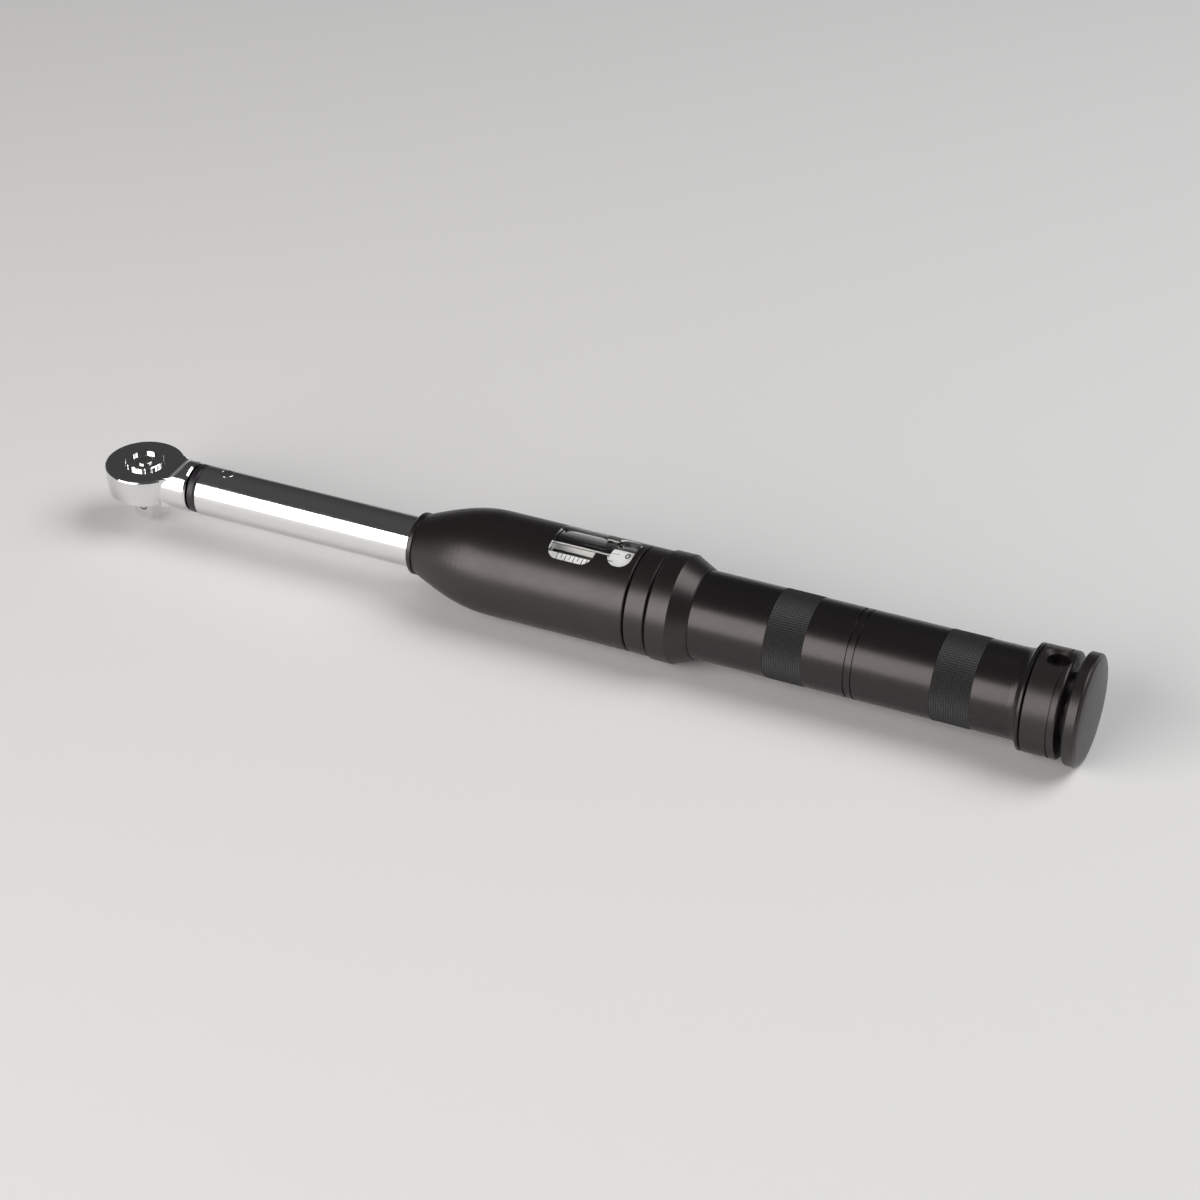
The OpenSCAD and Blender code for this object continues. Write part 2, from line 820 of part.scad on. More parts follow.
module selector_spring() {
  color("silver")
    rotate([0, 0, dial_turn])
      translate([selector_bore_in + face_gap, 0, selector_z])
        rotate([0, 90, 0])
          coil(selector_coil_d, selector_wire, selector_turns, selector_spring_l);
}

// Outline of the pawl at its middle: two arms round the gear, and a hub
module pawl_outline() {
  reach = 2 * pawl_r;
  difference() {
    union() {
      intersection() {
        circle(r = pawl_r);
        polygon([[0, 0], [reach * cos(pawl_span), reach * sin(pawl_span)], [reach, 0],
          [reach * cos(pawl_span), -reach * sin(pawl_span)]]);
      }
      translate([pawl_x, 0])
        circle(r = pawl_hub_r);
    }
    translate([pawl_x, 0])
      circle(d = pawl_pin_d + 2 * run_gap);
  }
}

// Double-ended pawl, cut by the gear, the dial and the path of the selector ball
module pawl() {
  mesh_gap = 0.1;
  steps = 8;
  stations = [for (i = [-steps : steps]) i / steps];
  color("darkgray")
    translate([pawl_x, 0, 0])
      rotate([0, 0, -pawl_tilt])
        translate([-pawl_x, 0, 0]) {
          translate([0, 0, gear_low])
            linear_extrude(gear_top - gear_low)
              difference() {
                pawl_outline();
                circle(r = gear_r + mesh_gap);
                for (side = [-1, 1])
                  about_pawl_pin(side * pawl_tilt)
                    gear_outline(mesh_gap);
              }
          translate([0, 0, gear_top])
            linear_extrude(flange_top - gear_top)
              difference() {
                pawl_outline();
                for (side = [-1, 0, 1])
                  about_pawl_pin(side * pawl_tilt)
                    circle(r = flange_r + mesh_gap);
                for (side = stations)
                  about_pawl_pin(side * pawl_tilt)
                    rotate(side * dial_turn)
                      translate([selector_track, 0])
                        circle(d = selector_d + 2 * mesh_gap);
              }
        }
}

module pawl_pin() {
  color("dimgray")
    translate([pawl_x, 0, gear_low])
      cylinder(h = head_top - top_wall / 2 - face_gap - gear_low, d = pawl_pin_d);
}

module head_seal() {
  r = tube_r - seal_inset;
  front = neck_x + neck_r * sin(click) + face_gap;
  bead = 0.5;
  swing = 0.9;
  inner = tail_d / 2 + swing;
  color("black")
    turned_x([[inner, front], [r - bead, front], [r, front + bead],
      [r, tube_x - bead], [r - bead / 2, tube_x], [inner, tube_x]]);
}

// ---- Tube and trip works ----

module circlip_places() {
  for (x = [bush_a_x + bush_l + face_gap, bush_b_x - clip_t - face_gap])
    translate([x, 0, 0])
      children();
}

module outer_tube() {
  slot_play = 0.5;
  slot_x0 = key_x - nut_travel - slot_play;
  slot_x1 = key_x + key_l + slot_play;
  slot_w = key_w + 4 * face_gap;
  step_x = sleeve_x + rim_l / 4;
  color("silver")
    difference() {
      turned_x([[bore_r, tube_x], [tube_r - tube_bevel, tube_x], [tube_r, tube_x + tube_bevel],
        [tube_r, step_x], [tube_seat_r, step_x], [tube_seat_r, tube_end_x], [bore_r, tube_end_x]]);
      translate([pivot_x, 0, -tube_d])
        cylinder(h = 2 * tube_d, d = pivot_d + 2 * seat_gap);
      block([slot_x0, -tube_d, -slot_w / 2], [slot_x1, tube_d, slot_w / 2]);
      circlip_places()
        ring_x(0, clip_t, tube_r + over, tube_seat_r - clip_groove);
      translate([plug_mid_x, 0, -tube_d])
        cylinder(h = 2 * tube_d, d = plug_screw_d + 2 * seat_gap);
    }
}

module pivot_pin() {
  half = tube_r - face_gap;
  bevel = 0.2;
  color("gainsboro")
    translate([pivot_x, 0, 0])
      rotate_extrude()
        polygon([[0, -half], [pivot_d / 2 - bevel, -half], [pivot_d / 2, bevel - half],
          [pivot_d / 2, half - bevel], [pivot_d / 2 - bevel, half], [0, half]]);
}

// Block between the tail and the plunger: an arc in front, a rocker behind
module tilt_block() {
  front_half = 3.7;
  back_half = rocker_d / 2 - 0.2;
  color("dimgray")
    translate([rocker_x, 0, -block_h / 2])
      linear_extrude(block_h) {
        circle(d = rocker_d);
        intersection() {
          circle(r = block_l);
          polygon([[0, back_half], [-block_l - over, front_half],
            [-block_l - over, -front_half], [0, -back_half]]);
        }
      }
}

module plunger() {
  color("slategray")
    difference() {
      union() {
        rod_x(plunger_x, plunger_end_x, piston_r);
        rod_x(plunger_end_x - over, plunger_end_x + spigot_l, spigot_r);
      }
      translate([rocker_x, 0, -block_h / 2 - rocker_room])
        cylinder(h = block_h + 2 * rocker_room, d = rocker_d + 2 * run_gap);
      ring_x(ring_seat_x, ring_seat_x + ring_seat_l, bore_r + over, piston_r - ring_seat_t);
    }
}

module plunger_ring() {
  color("whitesmoke")
    ring_x(ring_seat_x + face_gap, ring_seat_x + ring_seat_l - face_gap, piston_r,
      piston_r - ring_seat_t + seat_gap);
}

module spring_seat() {
  color("slategray")
    ring_x(plunger_end_x + face_gap, seat_end_x, washer_r, spigot_r + seat_gap);
}

module main_spring() {
  color("gray")
    translate([spring_x, 0, 0])
      rotate([0, 90, 0])
        coil(spring_d, spring_wire, spring_turns, spring_l);
}

// ---- Setting works ----

module nut_washer() {
  color("slategray")
    ring_x(nut_washer_x, nut_washer_x + spring_washer_t, washer_r, screw_d / 2 + free_gap);
}

module key_boxes(clear) {
  for (side = [0, 1])
    mirror([0, side, 0])
      block([key_x - clear, key_in - clear, -key_w / 2 - clear],
        [key_x + key_l + clear, key_out + clear, key_w / 2 + clear]);
}

module setting_nut() {
  color("goldenrod")
    difference() {
      ring_x(nut_x, nut_x + nut_l, piston_r, screw_d / 2 + run_gap);
      key_boxes(seat_gap);
    }
}

module scale_keys() {
  color("dimgray")
    key_boxes(0);
}

// Scale that the nut carries under the window: two white strips with engraved marks
module main_scale() {
  long_mark = 2.4;
  short_mark = 1.4;
  marks = floor(nut_travel / mark_step);
  zero_x = lobe_end_x - 1.8;
  r = scale_d / 2;
  color("white")
    difference() {
      ring_x(scale_x, scale_x + scale_l, r, scale_bore_r);
      block([scale_x - over, -scale_gap / 2, 0], [scale_x + scale_l + over, scale_gap / 2, r + over]);
      key_boxes(seat_gap);
      for (i = [0 : marks])
        let (
          x = zero_x + (i - marks) * mark_step,
          half = scale_gap / 2 + (i % 2 == 0 ? long_mark : short_mark)
        )
          intersection() {
            ring_x(x - mark_w / 2, x + mark_w / 2, r + over, r - mark_t);
            block([scale_x, -half, 0], [scale_x + scale_l, half, r + over]);
          }
    }
}

module setting_screw() {
  bevel = 0.6;
  r = screw_d / 2;
  collar_r = washer_r - 0.4;
  color("silver") {
    turned_x([[0, screw_x], [r - bevel, screw_x], [r, screw_x + bevel], [r, screw_collar_x],
      [collar_r, screw_collar_x], [collar_r, screw_collar_end], [r, screw_collar_end],
      [r, screw_hex_x + over], [0, screw_hex_x + over]]);
    hex_x(screw_hex_x, screw_end_x, hex_d);
  }
}

module front_thrust_washer() {
  color("gainsboro")
    ring_x(thrust_a_x, thrust_a_x + thrust_t, washer_r, screw_d / 2 + free_gap);
}

module rear_thrust_washer() {
  color("gainsboro")
    ring_x(thrust_b_x, thrust_b_x + thrust_t, washer_r, screw_d / 2 + free_gap);
}

module bearing_balls() {
  color("gainsboro")
    for (i = [0 : bearing_n - 1])
      rotate([360 * i / bearing_n, 0, 0])
        translate([ball_ring_x, bearing_pcd / 2, 0])
          sphere(d = bearing_d);
}

module bearing_plug() {
  color("slategray")
    difference() {
      ring_x(plug_x, plug_x + plug_l, bore_r - seat_gap, screw_d / 2 + run_gap);
      for (side = [0, 1])
        mirror([0, 0, side])
          translate([plug_mid_x, 0, plug_screw_low])
            cylinder(h = tube_d, d = plug_screw_d + 2 * seat_gap);
    }
}

module plug_screws() {
  l = tube_seat_r - plug_screw_low - free_gap;
  socket_t = 1;
  color("dimgray")
    for (side = [0, 1])
      mirror([0, 0, side])
        translate([plug_mid_x, 0, plug_screw_low + seat_gap])
          difference() {
            cylinder(h = l, d = plug_screw_d);
            translate([0, 0, l - socket_t])
              cylinder(h = socket_t + over, d = plug_screw_d / 2, $fn = 6);
          }
}

// ---- Sleeve, window and scales ----

// A rectangle with round corners, in X and Y
module round_box(x0, x1, w, r) {
  square_in = w - 2 * r;
  translate([x0, -square_in / 2])
    square([x1 - x0, square_in]);
  translate([x0 + r, -w / 2])
    square([x1 - x0 - 2 * r, w]);
  for (x = [x0 + r, x1 - r])
    for (y = [r - w / 2, w / 2 - r])
      translate([x, y])
        circle(r = r);
}

// Outline of the window: a large lobe, a waist and a small lobe
module window_outline(grow) {
  round_box(lobe_x - grow, lobe_end_x + grow, lobe_w + 2 * grow, lobe_r + grow);
  round_box(eye_x - grow, eye_end_x + grow, eye_w + 2 * grow, lobe_r + grow);
  translate([lobe_end_x - lobe_r, -waist_w / 2 - grow])
    square([eye_x - lobe_end_x + 2 * lobe_r, waist_w + 2 * grow]);
}

module window_prism(grow) {
  linear_extrude(sleeve_r + over)
    window_outline(grow);
}

module grub_places() {
  for (x = [sleeve_x + grub_in, sleeve_x + grub_in + grub_pitch])
    translate([x, 0, -tube_seat_r])
      rotate([180, 0, 0])
        children();
}

// Black sleeve: rim, ogive nose, straight body, hollow for the scales
module body_sleeve() {
  steps = 14;
  lip = 0.5;
  edge = 0.3;
  rim_step = 0.3;
  rim_r = rim_d / 2;
  bore = tube_seat_r + seat_gap;
  rim_bore = tube_r + seat_gap;
  nose_from = sleeve_x + rim_l;
  nose_r = rim_r - rim_step;
  nose = [
    for (i = [0 : steps])
      let (u = i / steps)
        [nose_r + (sleeve_r - nose_r) * sin(90 * u), nose_from + (nose_x - nose_from) * u]
  ];
  color([0.08, 0.08, 0.08])
    difference() {
      turned_x(concat(
        [[rim_bore, sleeve_x], [rim_r - lip, sleeve_x], [rim_r, sleeve_x + lip],
          [rim_r, nose_from - edge / 2]],
        nose,
        [[sleeve_r, sleeve_end_x - edge], [sleeve_r - edge, sleeve_end_x],
          [bezel_spigot_r + seat_gap, sleeve_end_x],
          [bezel_spigot_r + seat_gap, bezel_x - bezel_spigot - face_gap],
          [hollow_r, bezel_x - bezel_spigot - face_gap], [hollow_r, hollow_x],
          [bore, hollow_x], [bore, sleeve_x + rim_l / 2], [rim_bore, sleeve_x + rim_l / 2]]
      ));
      window_prism(0);
      intersection() {
        window_prism(lens_lip + face_gap);
        rod_x(hollow_x, sleeve_end_x + over, lens_lip_r + face_gap);
      }
      grub_places()
        cylinder(h = sleeve_r, d = grub_d + 2 * seat_gap);
    }
}

module sleeve_screws() {
  socket_t = 1.4;
  grub_l = 3.6;
  color("dimgray")
    grub_places()
      difference() {
        translate([0, 0, seat_gap])
          cylinder(h = grub_l, d = grub_d);
        translate([0, 0, grub_l - socket_t])
          cylinder(h = socket_t + over, d = grub_d / 2, $fn = 6);
      }
}

// Clear lens: its face follows the sleeve, its lip sits under the edge of the opening
module window_lens() {
  color([0.8, 0.9, 0.95, 0.4]) {
    intersection() {
      window_prism(-face_gap);
      ring_x(lobe_x - over, eye_end_x + over, sleeve_r, lens_lip_r - lens_step);
    }
    intersection() {
      window_prism(lens_lip);
      ring_x(lobe_x - 2 * over, eye_end_x + 2 * over, lens_lip_r, hollow_r + face_gap);
    }
  }
}

module rear_bezel() {
  edge = 0.3;
  color([0.08, 0.08, 0.08])
    difference() {
      turned_x([[hollow_r, bezel_x - bezel_spigot], [bezel_spigot_r, bezel_x - bezel_spigot],
        [bezel_spigot_r, bezel_x], [sleeve_r - edge, bezel_x], [sleeve_r, bezel_x + edge],
        [sleeve_r, bezel_end_x - edge], [sleeve_r - edge, bezel_end_x], [hollow_r, bezel_end_x]]);
      block([0, -lobe_w / 2 - lens_lip, 0],
        [eye_end_x + lens_lip + bezel_gap, lobe_w / 2 + lens_lip, sleeve_r]);
    }
}

// Ring that turns with the handle under the small lobe
module turning_scale() {
  long_mark = 2.6;
  short_mark = 1.6;
  r = ring_d / 2;
  color("white")
    difference() {
      ring_x(ring_x0, grip_x - face_gap, r, r - ring_wall);
      for (i = [0 : ring_marks - 1])
        rotate([360 * i / ring_marks, 0, 0])
          block([ring_x0 - over, -mark_w / 2, r - mark_t],
            [ring_x0 + (i % 5 == 0 ? long_mark : short_mark), mark_w / 2, r + over]);
    }
}

// ---- Handle ----

module grip_collar() {
  r = collar_d / 2;
  edge = 0.5;
  back = 0.3;
  step = 0.2;
  color([0.08, 0.08, 0.08])
    turned_x([[collar_bore_r, handle_x], [r - edge, handle_x], [r, handle_x + edge],
      [r, collar_end_x - edge], [r - back, collar_end_x],
      [grip_r + step + back, taper_end_x - back], [grip_r + step, taper_end_x],
      [grip_r + seat_gap, taper_end_x], [grip_r + seat_gap, grip_x], [collar_bore_r, grip_x]]);
}

module grip_tube() {
  steps = 6;
  edge = 0.2;
  land = 0.8;
  flare = cap_r - grip_r;
  flare_l = grip_end_x - flare_x - land;
  sweep = [
    for (i = [0 : steps])
      let (u = i / steps)
        [grip_r + flare * (1 - cos(90 * u)), flare_x + flare_l * sin(90 * u)]
  ];
  color([0.1, 0.1, 0.1])
    difference() {
      turned_x(concat(
        [[grip_bore_r, grip_x], [grip_r, grip_x]],
        sweep,
        [[cap_r, grip_end_x - edge], [cap_r - edge, grip_end_x], [grip_bore_r, grip_end_x]]
      ));
      for (x = [band_a_x, band_b_x])
        ring_x(x, x + band_l, grip_r + over, grip_r - band_seat);
      for (x = [grooves_x - grooves_gap / 2, grooves_x + grooves_gap / 2])
        ring_x(x - groove_w / 2, x + groove_w / 2, grip_r + over, grip_r - groove_t);
    }
}

module grip_bands() {
  edge = 0.2;
  color([0.05, 0.05, 0.05])
    for (x = [band_a_x, band_b_x])
      turned_x([[grip_r - band_seat + seat_gap, x + seat_gap], [grip_r - edge, x + seat_gap],
        [grip_r, x + edge], [grip_r, x + band_l - edge], [grip_r - edge, x + band_l - seat_gap],
        [grip_r - band_seat + seat_gap, x + band_l - seat_gap]]);
}

module grip_bushes() {
  color("darkgoldenrod")
    for (x = [bush_a_x, bush_b_x])
      ring_x(x, x + bush_l, grip_bore_r - seat_gap, tube_seat_r + run_gap);
}

module tube_circlips() {
  gap_w = 3;
  color("dimgray")
    circlip_places()
      difference() {
        ring_x(face_gap / 2, clip_t - face_gap / 2, tube_r + clip_out, tube_seat_r - clip_groove + seat_gap);
        block([-over, -gap_w / 2, -tube_d], [clip_t + over, gap_w / 2, 0]);
      }
}

// Ring in the end of the tube, with twelve places for the six-sided stem
module lock_ring() {
  color("slategray")
    difference() {
      rod_x(tube_end_x - lock_ring_l, tube_end_x, bore_r - seat_gap);
      for (turn = [0, 30])
        rotate([turn, 0, 0])
          hex_x(tube_end_x - lock_ring_l - over, tube_end_x + over, lock_d + 4 * run_gap);
    }
}

module lock_stem() {
  color("gainsboro")
    difference() {
      union() {
        hex_x(stem_x, stem_round_x, lock_d);
        rod_x(stem_round_x - over, stem_end_x, stem_round_r);
      }
      hex_x(stem_x - over, stem_end_x + over, hex_d + 4 * run_gap);
    }
}

// Pin spanner hole: a straight wall and a bevelled mouth that reaches past the round of the cap
module spanner_hole() {
  r = spanner_d / 2;
  deep = cap_r - spanner_depth;
  fall = 0.45;
  mouth = cap_r - spanner_bevel - fall;
  rise = cap_r - mouth + 0.3;
  translate([spanner_x, 0, 0])
    rotate_extrude()
      polygon([[0, deep], [r, deep], [r, mouth], [r + rise, mouth + rise], [0, mouth + rise]]);
}

module end_cap() {
  spigot_r2 = grip_bore_r - seat_gap;
  line_x = cap_end_x - 2.1;
  color([0.08, 0.08, 0.08])
    difference() {
      turned_x(concat(
        [[0, cap_spigot_x], [spigot_r2, cap_spigot_x], [spigot_r2, cap_x],
          [cap_r - 0.2, cap_x], [cap_r, cap_x + 0.2]],
        arc_x(cap_end_x - edge_r, cap_r - edge_r, edge_r, 4),
        [[cap_bore_r, cap_end_x], [cap_bore_r, cap_bore_x], [0, cap_bore_x]]
      ));
      hex_x(cap_spigot_x - over, cap_bore_x + over, lock_d + 4 * run_gap);
      ring_x(line_x - groove_w / 2, line_x + groove_w / 2, cap_r + over, cap_r - groove_t);
      spanner_hole();
    }
}

// Quarter round from the rim to the rear face, as points of [radius, x]
function arc_x(x, radius, r, n) =
  [for (i = [0 : n]) let (a = 90 * i / n) [radius + r * cos(a), x + r * sin(a)]];

module lock_knob() {
  steps = 8;
  rim_x = knob_x + knob_t;
  face_r = knob_r - edge_r;
  groove_floor = knob_neck_d / 2 - o_ring_t + 0.12;
  ring_mid = knob_neck_x + 1.2;
  dome = [
    for (i = [0 : steps])
      let (u = i / steps)
        [face_r * cos(90 * u), rim_x + knob_dome * sin(90 * u)]
  ];
  color([0.08, 0.08, 0.08])
    difference() {
      turned_x(concat(
        [[0, knob_neck_x], [knob_neck_d / 2, knob_neck_x], [knob_neck_d / 2, knob_x],
          [knob_r - 0.4, knob_x], [knob_r, knob_x + 0.4]],
        arc_x(rim_x - edge_r, knob_r - edge_r, edge_r, 4),
        dome
      ));
      rod_x(knob_neck_x - over, stem_end_x + 0.1, stem_round_r + seat_gap);
      ring_x(ring_mid - o_ring_t / 2, ring_mid + o_ring_t / 2, knob_r, groove_floor);
      translate([knob_grub_x, 0, 0])
        rotate([-90, 0, 0])
          cylinder(h = knob_neck_d, d = knob_grub_d + 2 * seat_gap);
    }
}

module knob_o_ring() {
  color("black")
    rotate([0, 90, 0])
      rotate_extrude()
        translate([knob_neck_d / 2 - o_ring_t / 2 + 0.15, knob_neck_x + 1.2])
          circle(d = o_ring_t - 2 * seat_gap, $fn = 32);
}

module knob_screw() {
  color("dimgray")
    translate([knob_grub_x, stem_round_r + 2 * seat_gap, 0])
      rotate([-90, 0, 0])
        difference() {
          cylinder(h = knob_neck_d / 2 - stem_round_r - 0.2, d = knob_grub_d);
          translate([0, 0, knob_neck_d / 2 - stem_round_r - 1.2])
            cylinder(h = 2, d = 1, $fn = 6);
        }
}

echo(main_spring_gap = coil_gap(coil_path(spring_d / 2, spring_turns, spring_l, spring_wire), spring_wire));
echo(button_spring_gap =
  coil_gap(coil_path(button_coil_d / 2, button_turns, button_spring_l, button_wire), button_wire));
echo(selector_spring_gap = coil_gap(
  coil_path(selector_coil_d / 2, selector_turns, selector_spring_l, selector_wire), selector_wire));

ratchet_head();
head_cover();
cover_screws();
drive_gear();
locking_ball();
release_button();
button_spring();
reverse_dial();
selector_ball();
selector_spring();
pawl();
pawl_pin();
head_seal();
outer_tube();
pivot_pin();
tilt_block();
plunger();
plunger_ring();
spring_seat();
main_spring();
nut_washer();
setting_nut();
scale_keys();
main_scale();
setting_screw();
front_thrust_washer();
bearing_balls();
rear_thrust_washer();
bearing_plug();
plug_screws();
body_sleeve();
sleeve_screws();
window_lens();
rear_bezel();
turning_scale();
grip_collar();
grip_tube();
grip_bands();
grip_bushes();
tube_circlips();
lock_ring();
lock_stem();
end_cap();
lock_knob();
knob_o_ring();
knob_screw();
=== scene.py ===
# %% [markdown]
# # Dressing a click-type torque wrench for a studio picture
# The construction of the wrench, its 46 pieces and the joints between them, comes ready made as a
# frame. This lesson adds what the frame lacks: a believable finish on every piece, finely knurled
# bands on the grip, wound springs with round wire, printed numbers on the scales, light and a
# camera. Nothing from the frame is moved or resized. A new piece takes its place from the frame's
# own boxes, so it fits without trying.

# %% Load the frame and measure it
import json
import math

import bpy
from mathutils import Matrix, Vector


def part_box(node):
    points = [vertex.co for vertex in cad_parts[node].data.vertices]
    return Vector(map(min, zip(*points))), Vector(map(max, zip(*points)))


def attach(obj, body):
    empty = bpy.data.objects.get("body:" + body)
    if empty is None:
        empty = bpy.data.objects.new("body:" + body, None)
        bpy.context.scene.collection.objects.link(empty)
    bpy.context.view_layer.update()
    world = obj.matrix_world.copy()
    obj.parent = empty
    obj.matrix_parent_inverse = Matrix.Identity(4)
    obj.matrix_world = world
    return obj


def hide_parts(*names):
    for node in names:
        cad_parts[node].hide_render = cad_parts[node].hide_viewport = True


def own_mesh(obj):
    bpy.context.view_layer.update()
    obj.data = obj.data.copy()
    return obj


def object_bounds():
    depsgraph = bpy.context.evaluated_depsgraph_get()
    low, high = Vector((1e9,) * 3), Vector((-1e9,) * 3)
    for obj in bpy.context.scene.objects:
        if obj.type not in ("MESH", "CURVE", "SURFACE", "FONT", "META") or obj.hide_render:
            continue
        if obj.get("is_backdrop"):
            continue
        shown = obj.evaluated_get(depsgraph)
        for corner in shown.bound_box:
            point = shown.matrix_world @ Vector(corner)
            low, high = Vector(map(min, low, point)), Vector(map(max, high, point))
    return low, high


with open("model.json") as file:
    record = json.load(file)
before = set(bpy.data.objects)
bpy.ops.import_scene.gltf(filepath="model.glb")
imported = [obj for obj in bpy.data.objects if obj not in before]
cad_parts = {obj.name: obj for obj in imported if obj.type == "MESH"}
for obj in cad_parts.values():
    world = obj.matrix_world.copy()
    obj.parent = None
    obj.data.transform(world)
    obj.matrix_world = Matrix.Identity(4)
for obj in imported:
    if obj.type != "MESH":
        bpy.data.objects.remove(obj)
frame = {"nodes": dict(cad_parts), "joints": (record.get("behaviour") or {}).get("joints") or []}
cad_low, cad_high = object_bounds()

MM = 0.001
MICRON = MM / 1000
nodes = frame["nodes"]
print("pieces in the frame:", len(nodes))
print("box in millimetres:", [round(side / MM, 1) for side in cad_high - cad_low])

# %% [markdown]
# ## Small helpers
# Blender's operators act on whatever is selected, as a hand does at the bench. So each step first
# puts everything down, then takes up one object. A finished piece gets its transform applied, which
# writes its place into the mesh and leaves the object itself at the origin, as the frame's own
# pieces are. Its material, the body that it moves with and what it stands for are given at once, so
# that none is forgotten.


# %% Pick up one object, and finish one
def take_nothing():
    """Put everything down."""
    if bpy.context.mode != "OBJECT":
        bpy.ops.object.mode_set(mode="OBJECT")
    bpy.ops.object.select_all(action="DESELECT")


def take(*objects):
    """Select only these objects; the first one is the active one."""
    take_nothing()
    for obj in objects:
        obj.select_set(True)
    bpy.context.view_layer.objects.active = objects[0]


def finish_piece(obj, name, material, body, stands_for=()):
    """Name a piece, write its place into its mesh, dress it and let it ride on its body."""
    take(obj)
    bpy.ops.object.transform_apply(location=True, rotation=True, scale=True)
    obj.name = name
    obj.data.name = name
    obj.data.materials.clear()
    obj.data.materials.append(material)
    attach(obj, body)
    if stands_for:
        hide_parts(*stands_for)
    print(f"{name}: {len(obj.data.polygons)} faces, rides on {body}")
    return obj


# %% [markdown]
# ## Effects that several finishes share
# A shader node group is a tool that is made once and used in many materials. Each group here gives
# out one number that changes over the surface: a height for a Bump node, a shift of roughness, or
# a mask. They all read Object coordinates, which are metres on the real object, so a pattern
# keeps its size. Nodes could be placed one by one with their links, but a few helpers that name a
# node and fill its sockets in one line keep the sums readable.


# %% A way to build node trees by name
def add_node(tree, kind, inputs=None, **settings):
    """Add a node, set its options, and fill its input sockets by name or by number."""
    made = tree.nodes.new(kind)
    for key, value in settings.items():
        setattr(made, key, value)
    for key, value in (inputs or {}).items():
        socket = made.inputs[key]
        if isinstance(value, bpy.types.NodeSocket):
            tree.links.new(value, socket)
        else:
            socket.default_value = value
    return made


def math_node(tree, operation, a, b=0.0, clamp=False):
    """One sum on numbers or sockets; gives back the result's socket."""
    made = add_node(tree, "ShaderNodeMath", {0: a, 1: b}, operation=operation, use_clamp=clamp)
    return made.outputs[0]


def object_place(tree):
    """Object coordinates, as a socket."""
    return add_node(tree, "ShaderNodeTexCoord").outputs["Object"]


def from_axis(tree, a, b):
    """Distance from an axis, out of the two coordinates across it."""
    squares = [math_node(tree, "MULTIPLY", side, side) for side in (a, b)]
    return math_node(tree, "SQRT", math_node(tree, "ADD", *squares))


def noise(tree, place, scale, detail):
    """A soft random pattern round 0.5; each step of detail adds a finer layer to it."""
    inputs = {"Vector": place, "Scale": scale, "Detail": detail}
    return add_node(tree, "ShaderNodeTexNoise", inputs).outputs["Fac"]


def new_group(name, inputs, output):
    """An empty node group with number inputs and one number output."""
    group = bpy.data.node_groups.new(name, "ShaderNodeTree")
    number = "NodeSocketFloat"
    for label, value in inputs.items():
        socket = group.interface.new_socket(name=label, in_out="INPUT", socket_type=number)
        socket.default_value = value
    group.interface.new_socket(name=output, in_out="OUTPUT", socket_type=number)
    return group, group.nodes.new("NodeGroupInput"), group.nodes.new("NodeGroupOutput")


# %% [markdown]
# ### Turning marks
# A lathe leaves fine rings round the axis of a part. On the real wrench they show on the pins, the
# nut, the bushes and the washers. A picture of rings would have to be wrapped round each part. It
# is simpler to measure, at each point, the distance along the axis and the distance from it, and
# to let a noise pattern read only those two numbers: what can't change round the axis makes
# perfect rings. Pieces that stand upright have their rings round the Z axis instead.


# %% Group: turning marks
def make_turning_marks():
    """Rings round the X axis, or round the Z axis where Upright is 1."""
    group, start, end = new_group("Turning Marks", {"Rings per mm": 6.0, "Upright": 0.0}, "Height")
    x, y, z = add_node(group, "ShaderNodeSeparateXYZ", {0: object_place(group)}).outputs
    upright = start.outputs["Upright"]
    along = add_node(group, "ShaderNodeMix", {0: upright, 2: x, 3: z}).outputs[0]
    across = add_node(group, "ShaderNodeMix", {0: upright, 2: z, 3: x}).outputs[0]
    rings = add_node(group, "ShaderNodeCombineXYZ", {0: along, 1: from_axis(group, y, across)})
    scale = math_node(group, "MULTIPLY", start.outputs["Rings per mm"], 1 / MM)
    height = noise(group, rings.outputs[0], scale, 2.0)
    group.links.new(height, end.inputs["Height"])
    return group


TURNING_MARKS = make_turning_marks()
print("made the group", TURNING_MARKS.name)

# %% [markdown]
# ### Grain and handling
# Moulded plastic and rubber carry the fine grain of their mould, and a tool that is used carries
# soft smudges where fingers and cloths have been. Both are noise: the grain is a fraction of a
# millimetre, and the smudges are a centimetre or two long. Two noises of different size are
# multiplied for the smudges, so that they come and go instead of covering everything evenly.


# %% Groups: mould grain and handling smudges
STREAKS_PER_PATCH = 9.0
# A noise is about 0.5 on average, so the product of two is about a quarter
MEAN_OF_PRODUCT = 0.25
# The product seldom leaves its mean by more than this part of one
SWING = 1 / 4


def make_mould_grain():
    """An even, fine grain."""
    group, start, end = new_group("Mould Grain", {"Grains per mm": 5.0}, "Height")
    scale = math_node(group, "MULTIPLY", start.outputs["Grains per mm"], 1 / MM)
    group.links.new(noise(group, object_place(group), scale, 3.0), end.inputs["Height"])
    return group


def make_handling():
    """A shift of roughness round 0, in patches that have streaks in them."""
    inputs = {"Amount": 0.1, "Patch mm": 18.0}
    group, start, end = new_group("Handling Smudges", inputs, "Shift")
    place = object_place(group)
    patch_scale = math_node(group, "DIVIDE", 1 / MM, start.outputs["Patch mm"])
    streak_scale = math_node(group, "MULTIPLY", patch_scale, STREAKS_PER_PATCH)
    patches = noise(group, place, patch_scale, 2.0)
    streaks = noise(group, place, streak_scale, 4.0)
    both = math_node(group, "MULTIPLY", patches, streaks)
    centred = math_node(group, "SUBTRACT", both, MEAN_OF_PRODUCT)
    amount = math_node(group, "MULTIPLY", start.outputs["Amount"], 1 / SWING)
    group.links.new(math_node(group, "MULTIPLY", centred, amount), end.inputs["Shift"])
    return group


